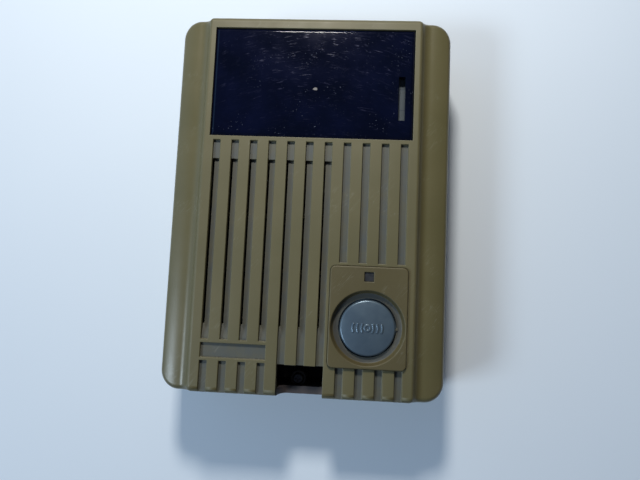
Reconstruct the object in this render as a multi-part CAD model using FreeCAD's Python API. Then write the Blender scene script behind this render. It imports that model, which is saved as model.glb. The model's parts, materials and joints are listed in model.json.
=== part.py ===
import FreeCAD
import Part
import math
import os

os.makedirs("parts", exist_ok=True)

# The station lies on its back: X to the right, Y to the top of the face, Z out of the face.
# The origin is the middle of the back, on the wall or table.

# Fits and cutting room shared by all pieces
overrun = 2.0
slip = 0.05
touch = 0.005
moulding_gap = 0.15
tray_gap = 0.25

# Case, measured over the back edge; the sides lean in towards the face
case_w = 97.0
case_h = 132.0
case_d = 30.0
case_lean = 0.5
level_share = 0.95
case_corner_r = 7.0
wall = 2.2
rim_r = 2.0

# Raised middle panel and the sloped wings beside it
wing_w = 11.9
panel_edge_r = 1.3
cove_r = 3.6
wing_drop = 2.7
wing_crown_r = 16.0

# Ribbed face: the pitch that fits the panel sets grooves, name recess and notch
groove_count = 11
sound_groove_count = 7
rib_margin = 2.85
groove_w = 2.5
groove_depth = 1.1
groove_lip = 0.2
face_wall = 1.9

# Sound slots: a mouth at the top; a narrow gap beside the floor leads to a passage under the left rib
slot_depth = 2.1
slot_lead = 2.8
mouth_len = 3.6
mouth_slant = 1.9
foot_ramp = 4.1
slot_end_margin = 23.3
slot_wall = 1.8
slot_foot = 1.0
sound_gap = 0.45
grille_t = 7.0
passage_w = 2.2
passage_roof = 1.5
passage_wall = 1.0
web_count = 2
web_t = 1.4
web_h = 1.5

# Name recess, lower left, and the plain grooves under it
name_recess_top_margin = 17.0
name_recess_h = 4.85
name_recess_depth = 1.0
name_recess_margin = 1.05

# Notch in the bottom edge
notch_depth = 10.7
tongue_t = 2.4
tongue_drop = 8.2
tongue_gap = 0.2
tongue_rise_w = 3.1
tongue_rise_h = 7.0

# Name window and card at the top of the face
window_side_margin = 1.6
window_top_margin = 4.7
window_h = 39.0
window_groove_gap = 1.6
window_seat = 3.6
seat_wall = 1.8
window_sink = 0.25
window_skin = 2.2
window_skirt = 1.3
bevel_w = 1.0
bevel_h = 0.4
slit_w = 2.3
slit_h = 15.5
slit_from_right = 4.05
slit_from_bottom = 14.55
card_t = 0.35
card_gap = 0.4

# Button plate
plate_w = 26.0
plate_h = 33.7
plate_side_margin = 1.7
plate_bottom_margin = 10.9
plate_corner_r = 1.8
plate_raise = 1.0
plate_t = 4.0
plate_edge_r = 0.45
plate_ledge = 1.5
dish_r = 12.35
dish_floor_r = 11.5
dish_depth = 2.5
dish_rise = 0.2
dish_edge_r = 0.25
sleeve_t = 0.7

# Call button
button_from_bottom = 13.4
button_r = 9.25
button_gap = 0.5
button_travel = 1.5
button_rim = 1.4
button_crown = 0.9
button_edge_r = 0.7
flange_lip = 0.6
flange_t = 1.2
flange_gap = 0.35
cap_skin = 2.0
stem_r = 3.0

# Guide disc and return spring
guide_lift = 2.0
guide_t = 1.5
collar_h = 2.0
collar_t = 1.2
spring_wire = 0.6
spring_r = 5.2
spring_pitch = 1.64
quarter_count = 4

# Push switch on the board
switch_side = 8.4
switch_h = 4.0
plunger_r = 1.6
plunger_proud = 1.9
plunger_seat = 1.9

# Indicator
lens_side = 3.1
lens_top_gap = 3.45
lens_sink = 0.6
lens_flange_t = 1.0
lamp_r = 1.5
lamp_rim = 0.4
lamp_body_h = 4.9
lamp_rim_t = 0.8
lamp_gap = 0.3
spacer_r = 2.7
spacer_wall = 0.7
lead_r = 0.25
lead_pitch = 2.54

# Speaker
speaker_margin = 7.75
speaker_mic_gap = 7.0
speaker_lift = 3.0
rim_w = 3.5
rim_t = 0.8
cloth_t = 0.5
gasket_t = 0.5
basket_skin = 0.8
basket_windows = 4
basket_spoke = 9.0
magnet_r = 16.0
magnet_t = 3.2
magnet_bore_r = 8.4
plate_iron_t = 0.8
yoke_t = 1.2
yoke_inset = 1.0
pole_r = 6.8
cone_skin = 0.5
cone_air = 0.6
cone_throat_r = 7.2
dust_cap_h = 2.2
locating_gap = 0.3
locating_wall = 1.5

# Speaker clips, around the rim
clip_angles = (20.0, 140.0, 250.0)
clip_boss_r = 2.8
clip_boss_gap = 1.2
clip_t = 1.0
clip_w = 5.6
clip_reach = 1.6

# Microphone
mic_side_gap = 4.7
mic_bottom_margin = 22.4
mic_r = 3.0
mic_h = 4.0
boot_wall = 0.8
boot_lip_t = 0.6
boot_port_r = 1.6
mic_ring_t = 1.0
mic_ring_h = 3.0

# Screws
screw_r = 1.5
screw_head_r = 2.75
screw_head_t = 1.6
driver_r = 1.0
driver_depth = 0.8

# Rear case
tray_t = 3.3
plate_pocket = 1.5
board_boss_h = 4.7
boss_r = 2.8
corner_boss_r = 3.4
corner_boss_inset = 7.5
case_screw_len = 11.0
head_sink = 0.2
entry_w = 24.0
entry_h = 14.0
entry_drop = 15.5
trimmer_hole_r = 2.4

# Steel mounting plate for a switch box
mount_t = 1.2
mount_w = 42.0
mount_top_margin = 13.0
mount_bottom_margin = 3.0
mount_corner_r = 3.0
mount_pitch = 83.5
mount_slot_w = 4.6
mount_slot_len = 8.0
mount_window_w = 30.0
mount_window_h = 40.0
mount_window_drop = 14.0
access_w = 9.0
access_h = 13.0
hook_w = 6.0
hook_x = 15.0
hook_rise = 2.6
hook_lip = 1.6
hook_inset = 4.0

# Locking screw seen through the notch
lock_offset = 1.2
lock_margin = 5.0
lock_drop = 10.0
lock_head_r = 2.0
lock_boss_r = 2.6

# Circuit board
board_t = 1.6
board_side_margin = 11.5
board_inset = 8.7
board_notch_gap = 2.45
board_step_margin = 18.4
board_bottom_margin = 7.5
board_hole_inset = 3.4

# Parts on the board
core_w = 16.0
core_h = 12.0
core_top_gap = 4.0
core_drop = 15.5
core_leg = 4.0
coil_w = 9.0
can_r = 3.15
can_h = 8.6
can_drop = 11.65
can_pitch = 7.4
transistor_r = 2.2
transistor_h = 4.6
transistor_leg = 3.0
transistor_flat = 1.2
transistor_rise = 6.2
transistor_pitch = 4.6
resistor_r = 1.1
resistor_l = 5.6
resistor_drop = 5.3
resistor_pitch = 3.6
resistor_count = 3
resistor_lift = 0.3
trimmer_side = 8.0
trimmer_h = 3.0
trimmer_rise = 11.2
rotor_r = 2.2
rotor_t = 1.1
rotor_slot_w = 0.7

# Terminal block behind the entry
terminal_margin = 37.5
terminal_w = 22.0
terminal_h = 10.0
terminal_d = 7.5
terminal_pitch = 10.0
terminal_screw_r = 1.7
terminal_head_r = 3.0
terminal_barrier = 1.2
terminal_screw_len = 5.0

# Inner leads
bend_share = 0.45
lead_wire_r = 0.55
lead_rise = 4.0
lead_spread = 1.5

# Heights that follow from the sizes above
wing_z = case_d - wing_drop
groove_floor_z = case_d - groove_depth
slot_floor_z = case_d - slot_depth
grille_back_z = case_d - grille_t
seat_z = case_d - window_seat
ceiling_z = seat_z - seat_wall
pocket_z = groove_floor_z - face_wall
plate_z = case_d + plate_raise
ledge_z = plate_z - plate_t
dish_floor_z = plate_z - dish_depth
flange_top_z = ledge_z - slip
flange_bottom_z = flange_top_z - flange_t
button_rim_z = dish_floor_z + button_rim
button_top_z = button_rim_z + button_crown
board_z = tray_t + board_boss_h
board_top_z = board_z + board_t
switch_top_z = board_top_z + switch_h
plunger_top_z = switch_top_z + plunger_proud
sleeve_bottom_z = plunger_top_z + guide_lift
guide_top_z = sleeve_bottom_z + guide_t
core_t = ceiling_z - core_top_gap - board_top_z
stem_bottom_z = plunger_top_z + slip
spring_top_z = button_rim_z - cap_skin
cloth_bottom_z = grille_back_z - cloth_t
gasket_bottom_z = cloth_bottom_z - gasket_t
rim_bottom_z = gasket_bottom_z - rim_t
yoke_z = tray_t + speaker_lift
magnet_z = yoke_z + yoke_t
iron_z = magnet_z + magnet_t
basket_floor_z = iron_z + plate_iron_t
basket_h = rim_bottom_z - basket_floor_z
mic_top_z = grille_back_z - boot_lip_t
lock_head_z = case_d - lock_drop

# Places across the face, that follow from the panel
panel_flat_w = case_w - 2 * wing_w
rib_pitch = (panel_flat_w - 2 * rib_margin - groove_w) / (groove_count - 1)
grooves_left_x = rib_margin - panel_flat_w / 2
first_plain = sound_groove_count
notch_left_x = grooves_left_x + (sound_groove_count - 3) * rib_pitch
notch_right_x = grooves_left_x + (sound_groove_count - 1) * rib_pitch + groove_w
name_recess_right_x = notch_left_x - rib_pitch + groove_w
window_w = panel_flat_w - 2 * window_side_margin
plate_left_x = panel_flat_w / 2 - plate_side_margin - plate_w
plate_x = plate_left_x + plate_w / 2
button_x = plate_x
lens_x = plate_x
mic_x = plate_left_x - mic_side_gap
lock_x = (notch_left_x + notch_right_x) / 2 - lock_offset
speaker_x = (grooves_left_x + notch_right_x) / 2 - passage_w / 4
board_right_x = case_w / 2 - board_side_margin
board_left_x = plate_left_x + board_inset
board_foot_left_x = notch_right_x + board_notch_gap

# Places down the face: window, terminals and board hang from the top, the rest stands on the bottom
top_y = case_h / 2
bottom_y = -case_h / 2
window_bottom_y = top_y - window_top_margin - window_h
window_y = window_bottom_y + window_h / 2
groove_top_y = window_bottom_y - window_groove_gap
terminal_y = top_y - terminal_margin
entry_y = terminal_y - entry_drop
mount_top_y = top_y - mount_top_margin
mount_bottom_y = bottom_y + mount_bottom_margin
mount_window_y = terminal_y - mount_window_drop
board_top_y = terminal_y + lead_spread
board_step_y = bottom_y + board_step_margin
board_bottom_y = bottom_y + board_bottom_margin
core_y = board_top_y - core_drop
can_top_y = core_y - can_drop
slot_end_y = bottom_y + slot_end_margin
slot_foot_y = slot_end_y - foot_ramp - slot_foot
slot_top_y = groove_top_y - slot_lead - mouth_len
speaker_y = (slot_top_y + slot_end_y) / 2 + groove_w / 2
notch_top_y = bottom_y + notch_depth + case_lean / 2
name_recess_top_y = bottom_y + name_recess_top_margin
lower_groove_top_y = name_recess_top_y - name_recess_h - name_recess_margin
plate_bottom_y = bottom_y + plate_bottom_margin
plate_top_y = plate_bottom_y + plate_h
plate_y = plate_bottom_y + plate_h / 2
button_y = plate_bottom_y + button_from_bottom
lens_y = plate_top_y - lens_top_gap
mic_y = bottom_y + mic_bottom_margin
mic_reach = math.hypot(mic_x - speaker_x, mic_y - speaker_y)
speaker_r = min((notch_right_x - grooves_left_x) / 2 + speaker_margin, mic_reach - speaker_mic_gap)
lock_y = bottom_y + lock_margin
transistor_y = button_y + transistor_rise
resistor_y = button_y - resistor_drop
trimmer_y = button_y + trimmer_rise
bore_r = button_r + button_gap
flange_r = bore_r + flange_lip
sleeve_r = flange_r + flange_gap


def box(x0, x1, y0, y1, z0, z1):
    return Part.makeBox(x1 - x0, y1 - y0, z1 - z0, FreeCAD.Vector(x0, y0, z0))


def rod(x, y, z0, z1, r):
    return Part.makeCylinder(r, z1 - z0, FreeCAD.Vector(x, y, z0))


def ring(x, y, z0, z1, r_in, r_out):
    return rod(x, y, z0, z1, r_out).cut(rod(x, y, z0, z1, r_in))


def point(x, y, z):
    return FreeCAD.Vector(x, y, z)


def line(a, b):
    return Part.LineSegment(a, b).toShape()


def arc(a, middle, b):
    return Part.Arc(a, middle, b).toShape()


def rounded_wire(x, y, w, h, r, z):
    """Rectangle with round corners, in the plane at height z."""
    half_w = w / 2
    half_h = h / 2
    bend = r * (1 - math.sqrt(0.5))
    edges = []
    for side_x, side_y in ((1, 1), (-1, 1), (-1, -1), (1, -1)):
        on_side = point(x + side_x * half_w, y + side_y * (half_h - r), z)
        on_end = point(x + side_x * (half_w - r), y + side_y * half_h, z)
        knee = point(x + side_x * (half_w - bend), y + side_y * (half_h - bend), z)
        first, last = (on_side, on_end) if side_x * side_y > 0 else (on_end, on_side)
        if edges:
            edges.append(line(edges[-1].lastVertex().Point, first))
        edges.append(arc(first, knee, last))
    edges.append(line(edges[-1].lastVertex().Point, edges[0].firstVertex().Point))
    return Part.Wire(edges)


def rounded_block(x, y, w, h, r, z0, z1):
    face = Part.Face(rounded_wire(x, y, w, h, r, z0))
    return face.extrude(point(0, 0, z1 - z0))


def leaning_block(w, h, r, z0, z1):
    """Block with round corners whose four sides lean in as the case does."""
    lean_low = case_lean * z0 / case_d
    lean_high = case_lean * z1 / case_d
    wires = []
    for z, lean in ((z0, lean_low), (z1, lean_high)):
        wires.append(rounded_wire(0, 0, w - 2 * lean, h - 2 * lean, r - lean, z))
    return Part.makeLoft(wires, True, True)


def frustum(x, y, w0, h0, z0, w1, h1, z1):
    """Four-sided block that widens or narrows from z0 to z1."""
    wires = []
    for w, h, z in ((w0, h0, z0), (w1, h1, z1)):
        corners = []
        for side_x, side_y in ((1, 1), (-1, 1), (-1, -1), (1, -1), (1, 1)):
            corners.append(point(x + side_x * w / 2, y + side_y * h / 2, z))
        wires.append(Part.makePolygon(corners))
    return Part.makeLoft(wires, True, True)


def side_prism(outline, x0, x1):
    """Prism along X from an outline of (y, z) points."""
    corners = []
    for y, z in outline:
        corners.append(point(x0, y, z))
    corners.append(corners[0])
    return Part.Face(Part.makePolygon(corners)).extrude(point(x1 - x0, 0, 0))


def turned(x, y, outline):
    """Solid of revolution about the vertical through x, y from (radius, z) points."""
    corners = []
    for r, z in outline:
        corners.append(point(x + r, y, z))
    corners.append(corners[0])
    face = Part.Face(Part.makePolygon(corners))
    return face.revolve(point(x, y, 0), point(0, 0, 1), 360)


def join(first, *others):
    """One solid from touching or overlapping pieces."""
    return first.multiFuse(list(others)).removeSplitter()


def groove_x(index):
    return grooves_left_x + index * rib_pitch


def face_section():
    """Section of the face: flat panel, rounded edge, cove and crowned wing, on both sides."""
    angle = math.acos(1 - wing_drop / (panel_edge_r + cove_r))
    half_flat = panel_flat_w / 2
    edge_z = case_d - panel_edge_r
    wing_x = half_flat + (panel_edge_r + cove_r) * math.sin(angle)
    far_x = case_w / 2 + overrun
    crown_z = wing_z - wing_crown_r
    sweep = math.asin((far_x - wing_x) / wing_crown_r)
    edges = []
    for side in (1, -1):
        flat_end = point(side * half_flat, 0, case_d)
        edge_mid = point(side * (half_flat + panel_edge_r * math.sin(angle / 2)), 0,
                         edge_z + panel_edge_r * math.cos(angle / 2))
        slope = point(side * (half_flat + panel_edge_r * math.sin(angle)), 0,
                      edge_z + panel_edge_r * math.cos(angle))
        cove_mid = point(side * (wing_x - cove_r * math.sin(angle / 2)), 0,
                         wing_z + cove_r * (1 - math.cos(angle / 2)))
        wing_start = point(side * wing_x, 0, wing_z)
        wing_mid = point(side * (wing_x + wing_crown_r * math.sin(sweep / 2)), 0,
                         crown_z + wing_crown_r * math.cos(sweep / 2))
        wing_end = point(side * far_x, 0, crown_z + wing_crown_r * math.cos(sweep))
        foot = point(side * far_x, 0, -overrun)
        edges.append(arc(flat_end, edge_mid, slope))
        edges.append(arc(slope, cove_mid, wing_start))
        edges.append(arc(wing_start, wing_mid, wing_end))
        edges.append(line(wing_end, foot))
    edges.append(line(point(half_flat, 0, case_d), point(-half_flat, 0, case_d)))
    edges.append(line(point(far_x, 0, -overrun), point(-far_x, 0, -overrun)))
    wire = Part.Wire(Part.__sortEdges__(edges))
    return Part.Face(wire)


def case_form():
    """Outer form of the case, with the rim of the face rounded all the way round."""
    section = face_section()
    length = case_h + 2 * overrun
    section.translate(point(0, -length / 2, 0))
    bar = section.extrude(point(0, length, 0))
    block = leaning_block(case_w, case_h, case_corner_r, 0, case_d + overrun)
    form = bar.common(block)
    sides = Part.makeCompound([face for face in block.Faces if abs(face.normalAt(0, 0).z) < 0.5])
    rim = []
    for edge in form.Edges:
        middle = edge.valueAt((edge.FirstParameter + edge.LastParameter) / 2)
        near_face = middle.z > case_d / 2
        on_side = sides.distToShape(Part.Vertex(middle))[0] < touch
        level = abs(edge.tangentAt((edge.FirstParameter + edge.LastParameter) / 2).z) < level_share
        if near_face and on_side and level:
            rim.append(edge)
    return form.makeFillet(rim_r, rim)


def cavity():
    """Hollow of the cover: the main room and two raised pockets behind the thin face."""
    inner_w = case_w - 2 * wall
    inner_h = case_h - 2 * wall
    main = leaning_block(inner_w, inner_h, case_corner_r - wall, -overrun, ceiling_z)
    right = box(plate_left_x + wall, panel_flat_w / 2 - wall, plate_top_y + wall,
                groove_top_y, ceiling_z - overrun, pocket_z)
    low = box(-panel_flat_w / 2 + wall, notch_right_x - wall, -inner_h / 2 + wall,
              slot_foot_y - wall, ceiling_z - overrun, pocket_z)
    return main.multiFuse([right, low])


def grille_block():
    """Thick part of the face that holds the sound slots."""
    x0 = grooves_left_x - passage_w - wall / 2
    x1 = notch_right_x + wall / 2
    y0 = slot_foot_y - wall / 2
    y1 = groove_top_y + wall / 2
    return box(x0, x1, y0, y1, grille_back_z, pocket_z)


def lip_cutter(x0, x1, y0, y1):
    """Small bevel along the mouth of a groove."""
    w = x1 - x0
    h = y1 - y0
    low = case_d - groove_lip
    high = case_d + groove_lip
    return frustum((x0 + x1) / 2, (y0 + y1) / 2, w, h, low, w + 4 * groove_lip, h + 4 * groove_lip, high)


def shallow_groove(index, y0, y1):
    x0 = groove_x(index)
    cut = box(x0, x0 + groove_w, y0, y1, groove_floor_z, case_d + overrun)
    return [cut, lip_cutter(x0, x0 + groove_w, y0, y1)]


def sound_groove(index):
    """Groove with an open mouth, a floor with a gap beside it, and a passage with low webs under it."""
    x0 = groove_x(index)
    x1 = x0 + groove_w
    outline = [(groove_top_y, case_d + overrun), (groove_top_y, groove_floor_z),
               (slot_top_y, groove_floor_z), (slot_top_y, slot_floor_z),
               (slot_end_y, slot_floor_z), (slot_end_y - foot_ramp, groove_floor_z),
               (slot_foot_y, groove_floor_z), (slot_foot_y, case_d + overrun)]
    mouth_y = groove_top_y - slot_lead
    mouth = Part.Face(Part.makePolygon([point(x, y, grille_back_z - overrun) for x, y in (
        (x0, mouth_y), (x1, mouth_y - mouth_slant), (x1, slot_top_y), (x0, slot_top_y), (x0, mouth_y))]))
    left = x0 - passage_w
    right = x0 + sound_gap
    web_top_z = grille_back_z + web_h
    behind_floor = box(right + passage_wall, x1, slot_end_y, slot_top_y,
                       grille_back_z - overrun, slot_floor_z - slot_wall)
    cutters = [side_prism(outline, x0, x1), lip_cutter(x0, x1, slot_foot_y, groove_top_y), behind_floor,
               mouth.extrude(point(0, 0, grille_t)),
               box(left, right, slot_end_y, slot_top_y, web_top_z, case_d - passage_roof)]
    span = (slot_top_y - slot_end_y + web_t) / (web_count + 1)
    for step in range(web_count + 1):
        y0 = slot_end_y + step * span
        cutters.append(box(left, right, y0, y0 + span - web_t, grille_back_z - overrun, web_top_z))
    return cutters


def face_grooves():
    cutters = []
    past_y = bottom_y - overrun
    for index in range(sound_groove_count):
        cutters.extend(sound_groove(index))
    for index in range(sound_groove_count - 3, sound_groove_count):
        cutters.extend(shallow_groove(index, notch_top_y - overrun, slot_foot_y))
    for index in range(first_plain, groove_count):
        cutters.extend(shallow_groove(index, plate_top_y + name_recess_margin, groove_top_y))
        cutters.extend(shallow_groove(index, past_y, plate_bottom_y + plate_ledge))
    for index in range(sound_groove_count - 3):
        cutters.extend(shallow_groove(index, past_y, lower_groove_top_y))
    return cutters


def name_recess():
    x0 = grooves_left_x
    y0 = name_recess_top_y - name_recess_h
    floor = case_d - name_recess_depth
    cut = box(x0, name_recess_right_x, y0, name_recess_top_y, floor, case_d + overrun)
    return [cut, lip_cutter(x0, name_recess_right_x, y0, name_recess_top_y)]


def face_openings():
    """Window seat, seat of the button plate with the hole behind it, and the bottom notch."""
    seat = box(-window_w / 2 - moulding_gap, window_w / 2 + moulding_gap,
               window_bottom_y - moulding_gap, window_bottom_y + window_h + moulding_gap,
               seat_z, case_d + overrun)
    plate_seat = rounded_block(plate_x, plate_y, plate_w + 2 * moulding_gap, plate_h + 2 * moulding_gap,
                               plate_corner_r + moulding_gap, ledge_z, case_d + overrun)
    behind = rounded_block(plate_x, plate_y, plate_w - 2 * plate_ledge, plate_h - 2 * plate_ledge,
                           plate_corner_r, ceiling_z - overrun, case_d)
    notch = box(notch_left_x, notch_right_x, bottom_y - overrun, notch_top_y,
                -overrun, case_d + overrun)
    return [seat, plate_seat, behind, notch]


def corner_places():
    places = []
    x = case_w / 2 - corner_boss_inset
    y = case_h / 2 - corner_boss_inset
    for side_x in (-1, 1):
        for side_y in (-1, 1):
            places.append((side_x * x, side_y * y))
    return places


def clip_places():
    """Centre and turn of each clip boss, just outside the rim of the speaker."""
    reach = speaker_r + clip_boss_gap + clip_boss_r
    places = []
    for angle in clip_angles:
        turn = math.radians(angle)
        places.append((speaker_x + reach * math.cos(turn), speaker_y + reach * math.sin(turn), angle))
    return places


def cover_bosses():
    posts = []
    holes = []
    for x, y in corner_places():
        posts.append(rod(x, y, tray_t, ceiling_z + wall / 2, corner_boss_r))
        holes.append(rod(x, y, tray_t - overrun, case_screw_len + slip, screw_r))
    for x, y, angle in clip_places():
        posts.append(rod(x, y, rim_bottom_z, pocket_z + wall / 4, clip_boss_r))
        holes.append(rod(x, y, rim_bottom_z - overrun, ceiling_z, screw_r))
    r = speaker_r + locating_gap
    locator = ring(speaker_x, speaker_y, rim_bottom_z, ceiling_z + wall / 4, r, r + locating_wall)
    r = mic_r + boot_wall
    mic_ring = ring(mic_x, mic_y, grille_back_z - mic_ring_h, grille_back_z + slot_wall / 2,
                    r, r + mic_ring_t)
    return posts + [locator, mic_ring], holes


def front_cover():
    shell = case_form().cut(cavity())
    posts, holes = cover_bosses()
    room = rounded_block(plate_x, plate_y, plate_w - 2 * plate_ledge, plate_h - 2 * plate_ledge,
                         plate_corner_r, -overrun, case_d)
    posts = [post.cut(room) for post in posts]
    clear = rod(speaker_x, speaker_y, rim_bottom_z - overrun, grille_back_z, speaker_r)
    ear = rod(mic_x, mic_y, -overrun, grille_back_z, mic_r + boot_wall)
    body = join(shell, grille_block(), *posts)
    return body.cut(holes + face_grooves() + name_recess() + face_openings() + [clear, ear])


def button_plate():
    blank = rounded_block(plate_x, plate_y, plate_w, plate_h, plate_corner_r, ledge_z, plate_z)
    top = [edge for edge in blank.Edges
           if edge.BoundBox.ZMin > plate_z - touch]
    blank = blank.makeFillet(plate_edge_r, top)
    sleeve = ring(button_x, button_y, sleeve_bottom_z, ledge_z, sleeve_r, sleeve_r + sleeve_t)
    edge_z = plate_z - dish_edge_r
    slope = (dish_r - dish_floor_r) / dish_depth
    dish = turned(button_x, button_y, [
        (0, plate_z + overrun), (dish_r + dish_edge_r, plate_z + overrun),
        (dish_r + dish_edge_r, plate_z), (dish_r - slope * dish_edge_r, edge_z),
        (dish_floor_r + dish_rise, dish_floor_z + 2 * dish_rise),
        (dish_floor_r - dish_rise, dish_floor_z + dish_rise / 2),
        (bore_r, dish_floor_z), (bore_r, ledge_z - overrun), (0, ledge_z - overrun)])
    lens_hole = box(lens_x - lens_side / 2, lens_x + lens_side / 2,
                    lens_y - lens_side / 2, lens_y + lens_side / 2,
                    ledge_z - overrun, plate_z + overrun)
    mouth = lens_side + 4 * groove_lip
    lens_lip = frustum(lens_x, lens_y, lens_side, lens_side, plate_z - groove_lip,
                       mouth, mouth, plate_z + groove_lip)
    return join(blank, sleeve).cut([dish, lens_hole, lens_lip])


def call_button():
    """Cap with a domed face, a retaining flange and the stem that works the switch."""
    shoulder = button_rim_z - button_edge_r
    dome_r = (button_r ** 2 + button_crown ** 2) / (2 * button_crown)
    inner_r = button_r - button_edge_r
    dome_edge_z = button_top_z - dome_r + math.sqrt(dome_r ** 2 - inner_r ** 2)
    half = math.sqrt(0.5)
    mid_r = inner_r / 2
    dome_mid = point(mid_r, 0, button_top_z - dome_r + math.sqrt(dome_r ** 2 - mid_r ** 2))
    edge_mid = point(inner_r + button_edge_r * half, 0, shoulder + (dome_edge_z - shoulder) * half)
    path = [arc(point(0, 0, button_top_z), dome_mid, point(inner_r, 0, dome_edge_z)),
            arc(point(inner_r, 0, dome_edge_z), edge_mid, point(button_r, 0, shoulder))]
    inside_r = button_r - cap_skin
    corners = [(button_r, shoulder), (button_r, flange_top_z), (flange_r, flange_top_z),
               (flange_r, flange_bottom_z), (inside_r, flange_bottom_z), (inside_r, spring_top_z),
               (stem_r, spring_top_z), (stem_r, stem_bottom_z), (0, stem_bottom_z), (0, button_top_z)]
    for start, end in zip(corners, corners[1:]):
        path.append(line(point(start[0], 0, start[1]), point(end[0], 0, end[1])))
    cap = Part.Face(Part.Wire(path)).revolve(point(0, 0, 0), point(0, 0, 1), 360)
    cap.translate(point(button_x, button_y, 0))
    return cap


def button_guide():
    disc = rod(button_x, button_y, sleeve_bottom_z, guide_top_z, sleeve_r - slip)
    collar = rod(button_x, button_y, guide_top_z, guide_top_z + collar_h, stem_r + slip + collar_t)
    bore = rod(button_x, button_y, sleeve_bottom_z - overrun, guide_top_z + collar_h + overrun,
               stem_r + slip)
    return join(disc, collar).cut(bore)


def coil(x, y, z0, z1, r, wire_r, pitch):
    """Compression spring between z0 and z1: arcs of a quarter turn, swept with round wire."""
    low = z0 + wire_r
    rise = z1 - z0 - 2 * wire_r
    turns = round(rise / pitch)
    steps = 2 * quarter_count * turns
    spots = []
    for step in range(steps + 1):
        angle = 2 * math.pi * turns * step / steps
        height = low + rise * step / steps
        spots.append(point(x + r * math.cos(angle), y + r * math.sin(angle), height))
    path = [arc(*spots[step:step + 3]) for step in range(0, steps, 2)]
    heading = path[0].tangentAt(path[0].FirstParameter)
    section = Part.Wire(Part.Circle(spots[0], heading, wire_r).toShape())
    return Part.Wire(path).makePipeShell([section], True, False)


def return_spring():
    return coil(button_x, button_y, guide_top_z + slip, spring_top_z - slip,
                spring_r, spring_wire / 2, spring_pitch)


def switch_body():
    half = switch_side / 2
    block = box(button_x - half, button_x + half, button_y - half, button_y + half,
                board_top_z, switch_top_z)
    depth = plunger_seat + button_travel + slip
    bore = rod(button_x, button_y, switch_top_z - depth, switch_top_z + overrun, plunger_r + slip)
    edges = [edge for edge in block.Edges if edge.BoundBox.ZLength > switch_h / 2]
    return block.makeFillet(switch_side / 12, edges).cut(bore)


def switch_plunger():
    return rod(button_x, button_y, switch_top_z - plunger_seat, plunger_top_z, plunger_r)


def indicator_lens():
    side = lens_side / 2 - slip
    head = box(lens_x - side, lens_x + side, lens_y - side, lens_y + side, ledge_z, plate_z - lens_sink)
    wide = lens_top_gap - plate_ledge - slip
    flange = box(lens_x - wide, lens_x + wide, lens_y - wide, lens_y + wide,
                 ledge_z - lens_flange_t, ledge_z)
    return join(head, flange)


def lamp_base_z():
    return ledge_z - lens_flange_t - lamp_gap - lamp_body_h - lamp_rim_t


def indicator_lamp():
    base = lamp_base_z()
    rim_top = base + lamp_rim_t
    dome_z = base + lamp_rim_t + lamp_body_h - lamp_r
    body = rod(lens_x, lens_y, rim_top, dome_z, lamp_r)
    dome = Part.makeSphere(lamp_r, point(lens_x, lens_y, dome_z))
    rim = rod(lens_x, lens_y, base, rim_top, lamp_r + lamp_rim)
    legs = []
    for side in (-1, 1):
        legs.append(rod(lens_x + side * lead_pitch / 2, lens_y, board_top_z, base, lead_r))
    return join(rim, body, dome, *legs)


def lamp_spacer():
    return ring(lens_x, lens_y, board_top_z, lamp_base_z(), spacer_r - spacer_wall, spacer_r)


def name_window():
    """Black panel: bevelled plate on a skirt, with the finger slit near its right end."""
    top = case_d - window_sink
    edge = top - bevel_h
    plate = box(-window_w / 2, window_w / 2, window_bottom_y, window_bottom_y + window_h, seat_z, edge)
    crown = frustum(0, window_y, window_w, window_h, edge,
                    window_w - 2 * bevel_w, window_h - 2 * bevel_w, top)
    hollow = box(-window_w / 2 + window_skirt, window_w / 2 - window_skirt,
                 window_bottom_y + window_skirt, window_bottom_y + window_h - window_skirt,
                 seat_z - overrun, top - window_skin)
    slit_x = window_w / 2 - slit_from_right
    slit_y = window_bottom_y + slit_from_bottom
    slit = box(slit_x - slit_w / 2, slit_x + slit_w / 2, slit_y - slit_h / 2, slit_y + slit_h / 2,
               seat_z - overrun, case_d + overrun)
    return join(plate, crown).cut([hollow, slit])


def name_card():
    inset = window_skirt + card_gap
    return box(-window_w / 2 + inset, window_w / 2 - inset,
               window_bottom_y + inset, window_bottom_y + window_h - inset, seat_z, seat_z + card_t)


def speaker_cloth():
    return rod(speaker_x, speaker_y, cloth_bottom_z, grille_back_z, speaker_r)


def speaker_gasket():
    return ring(speaker_x, speaker_y, gasket_bottom_z, cloth_bottom_z, speaker_r - rim_w, speaker_r)


def speaker_basket():
    """Pressed frame: flat rim, conical wall with windows and a flat seat for the magnet."""
    mouth_r = speaker_r - rim_w
    seat_r = magnet_r - yoke_inset
    cup = turned(speaker_x, speaker_y, [
        (magnet_bore_r, basket_floor_z), (seat_r, basket_floor_z),
        (mouth_r + basket_skin, rim_bottom_z), (speaker_r, rim_bottom_z),
        (speaker_r, gasket_bottom_z), (mouth_r, gasket_bottom_z), (mouth_r, rim_bottom_z),
        (seat_r - basket_skin, basket_floor_z + basket_skin),
        (magnet_bore_r, basket_floor_z + basket_skin)])
    windows = []
    rise = basket_h / 4
    for index in range(basket_windows):
        cutter = box(seat_r, speaker_r, basket_spoke / 2 - seat_r, seat_r - basket_spoke / 2,
                     basket_floor_z + rise, rim_bottom_z - rise)
        cutter.rotate(point(0, 0, 0), point(0, 0, 1), (index + 0.5) * 360 / basket_windows)
        cutter.translate(point(speaker_x, speaker_y, 0))
        windows.append(cutter)
    return cup.cut(windows)


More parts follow.
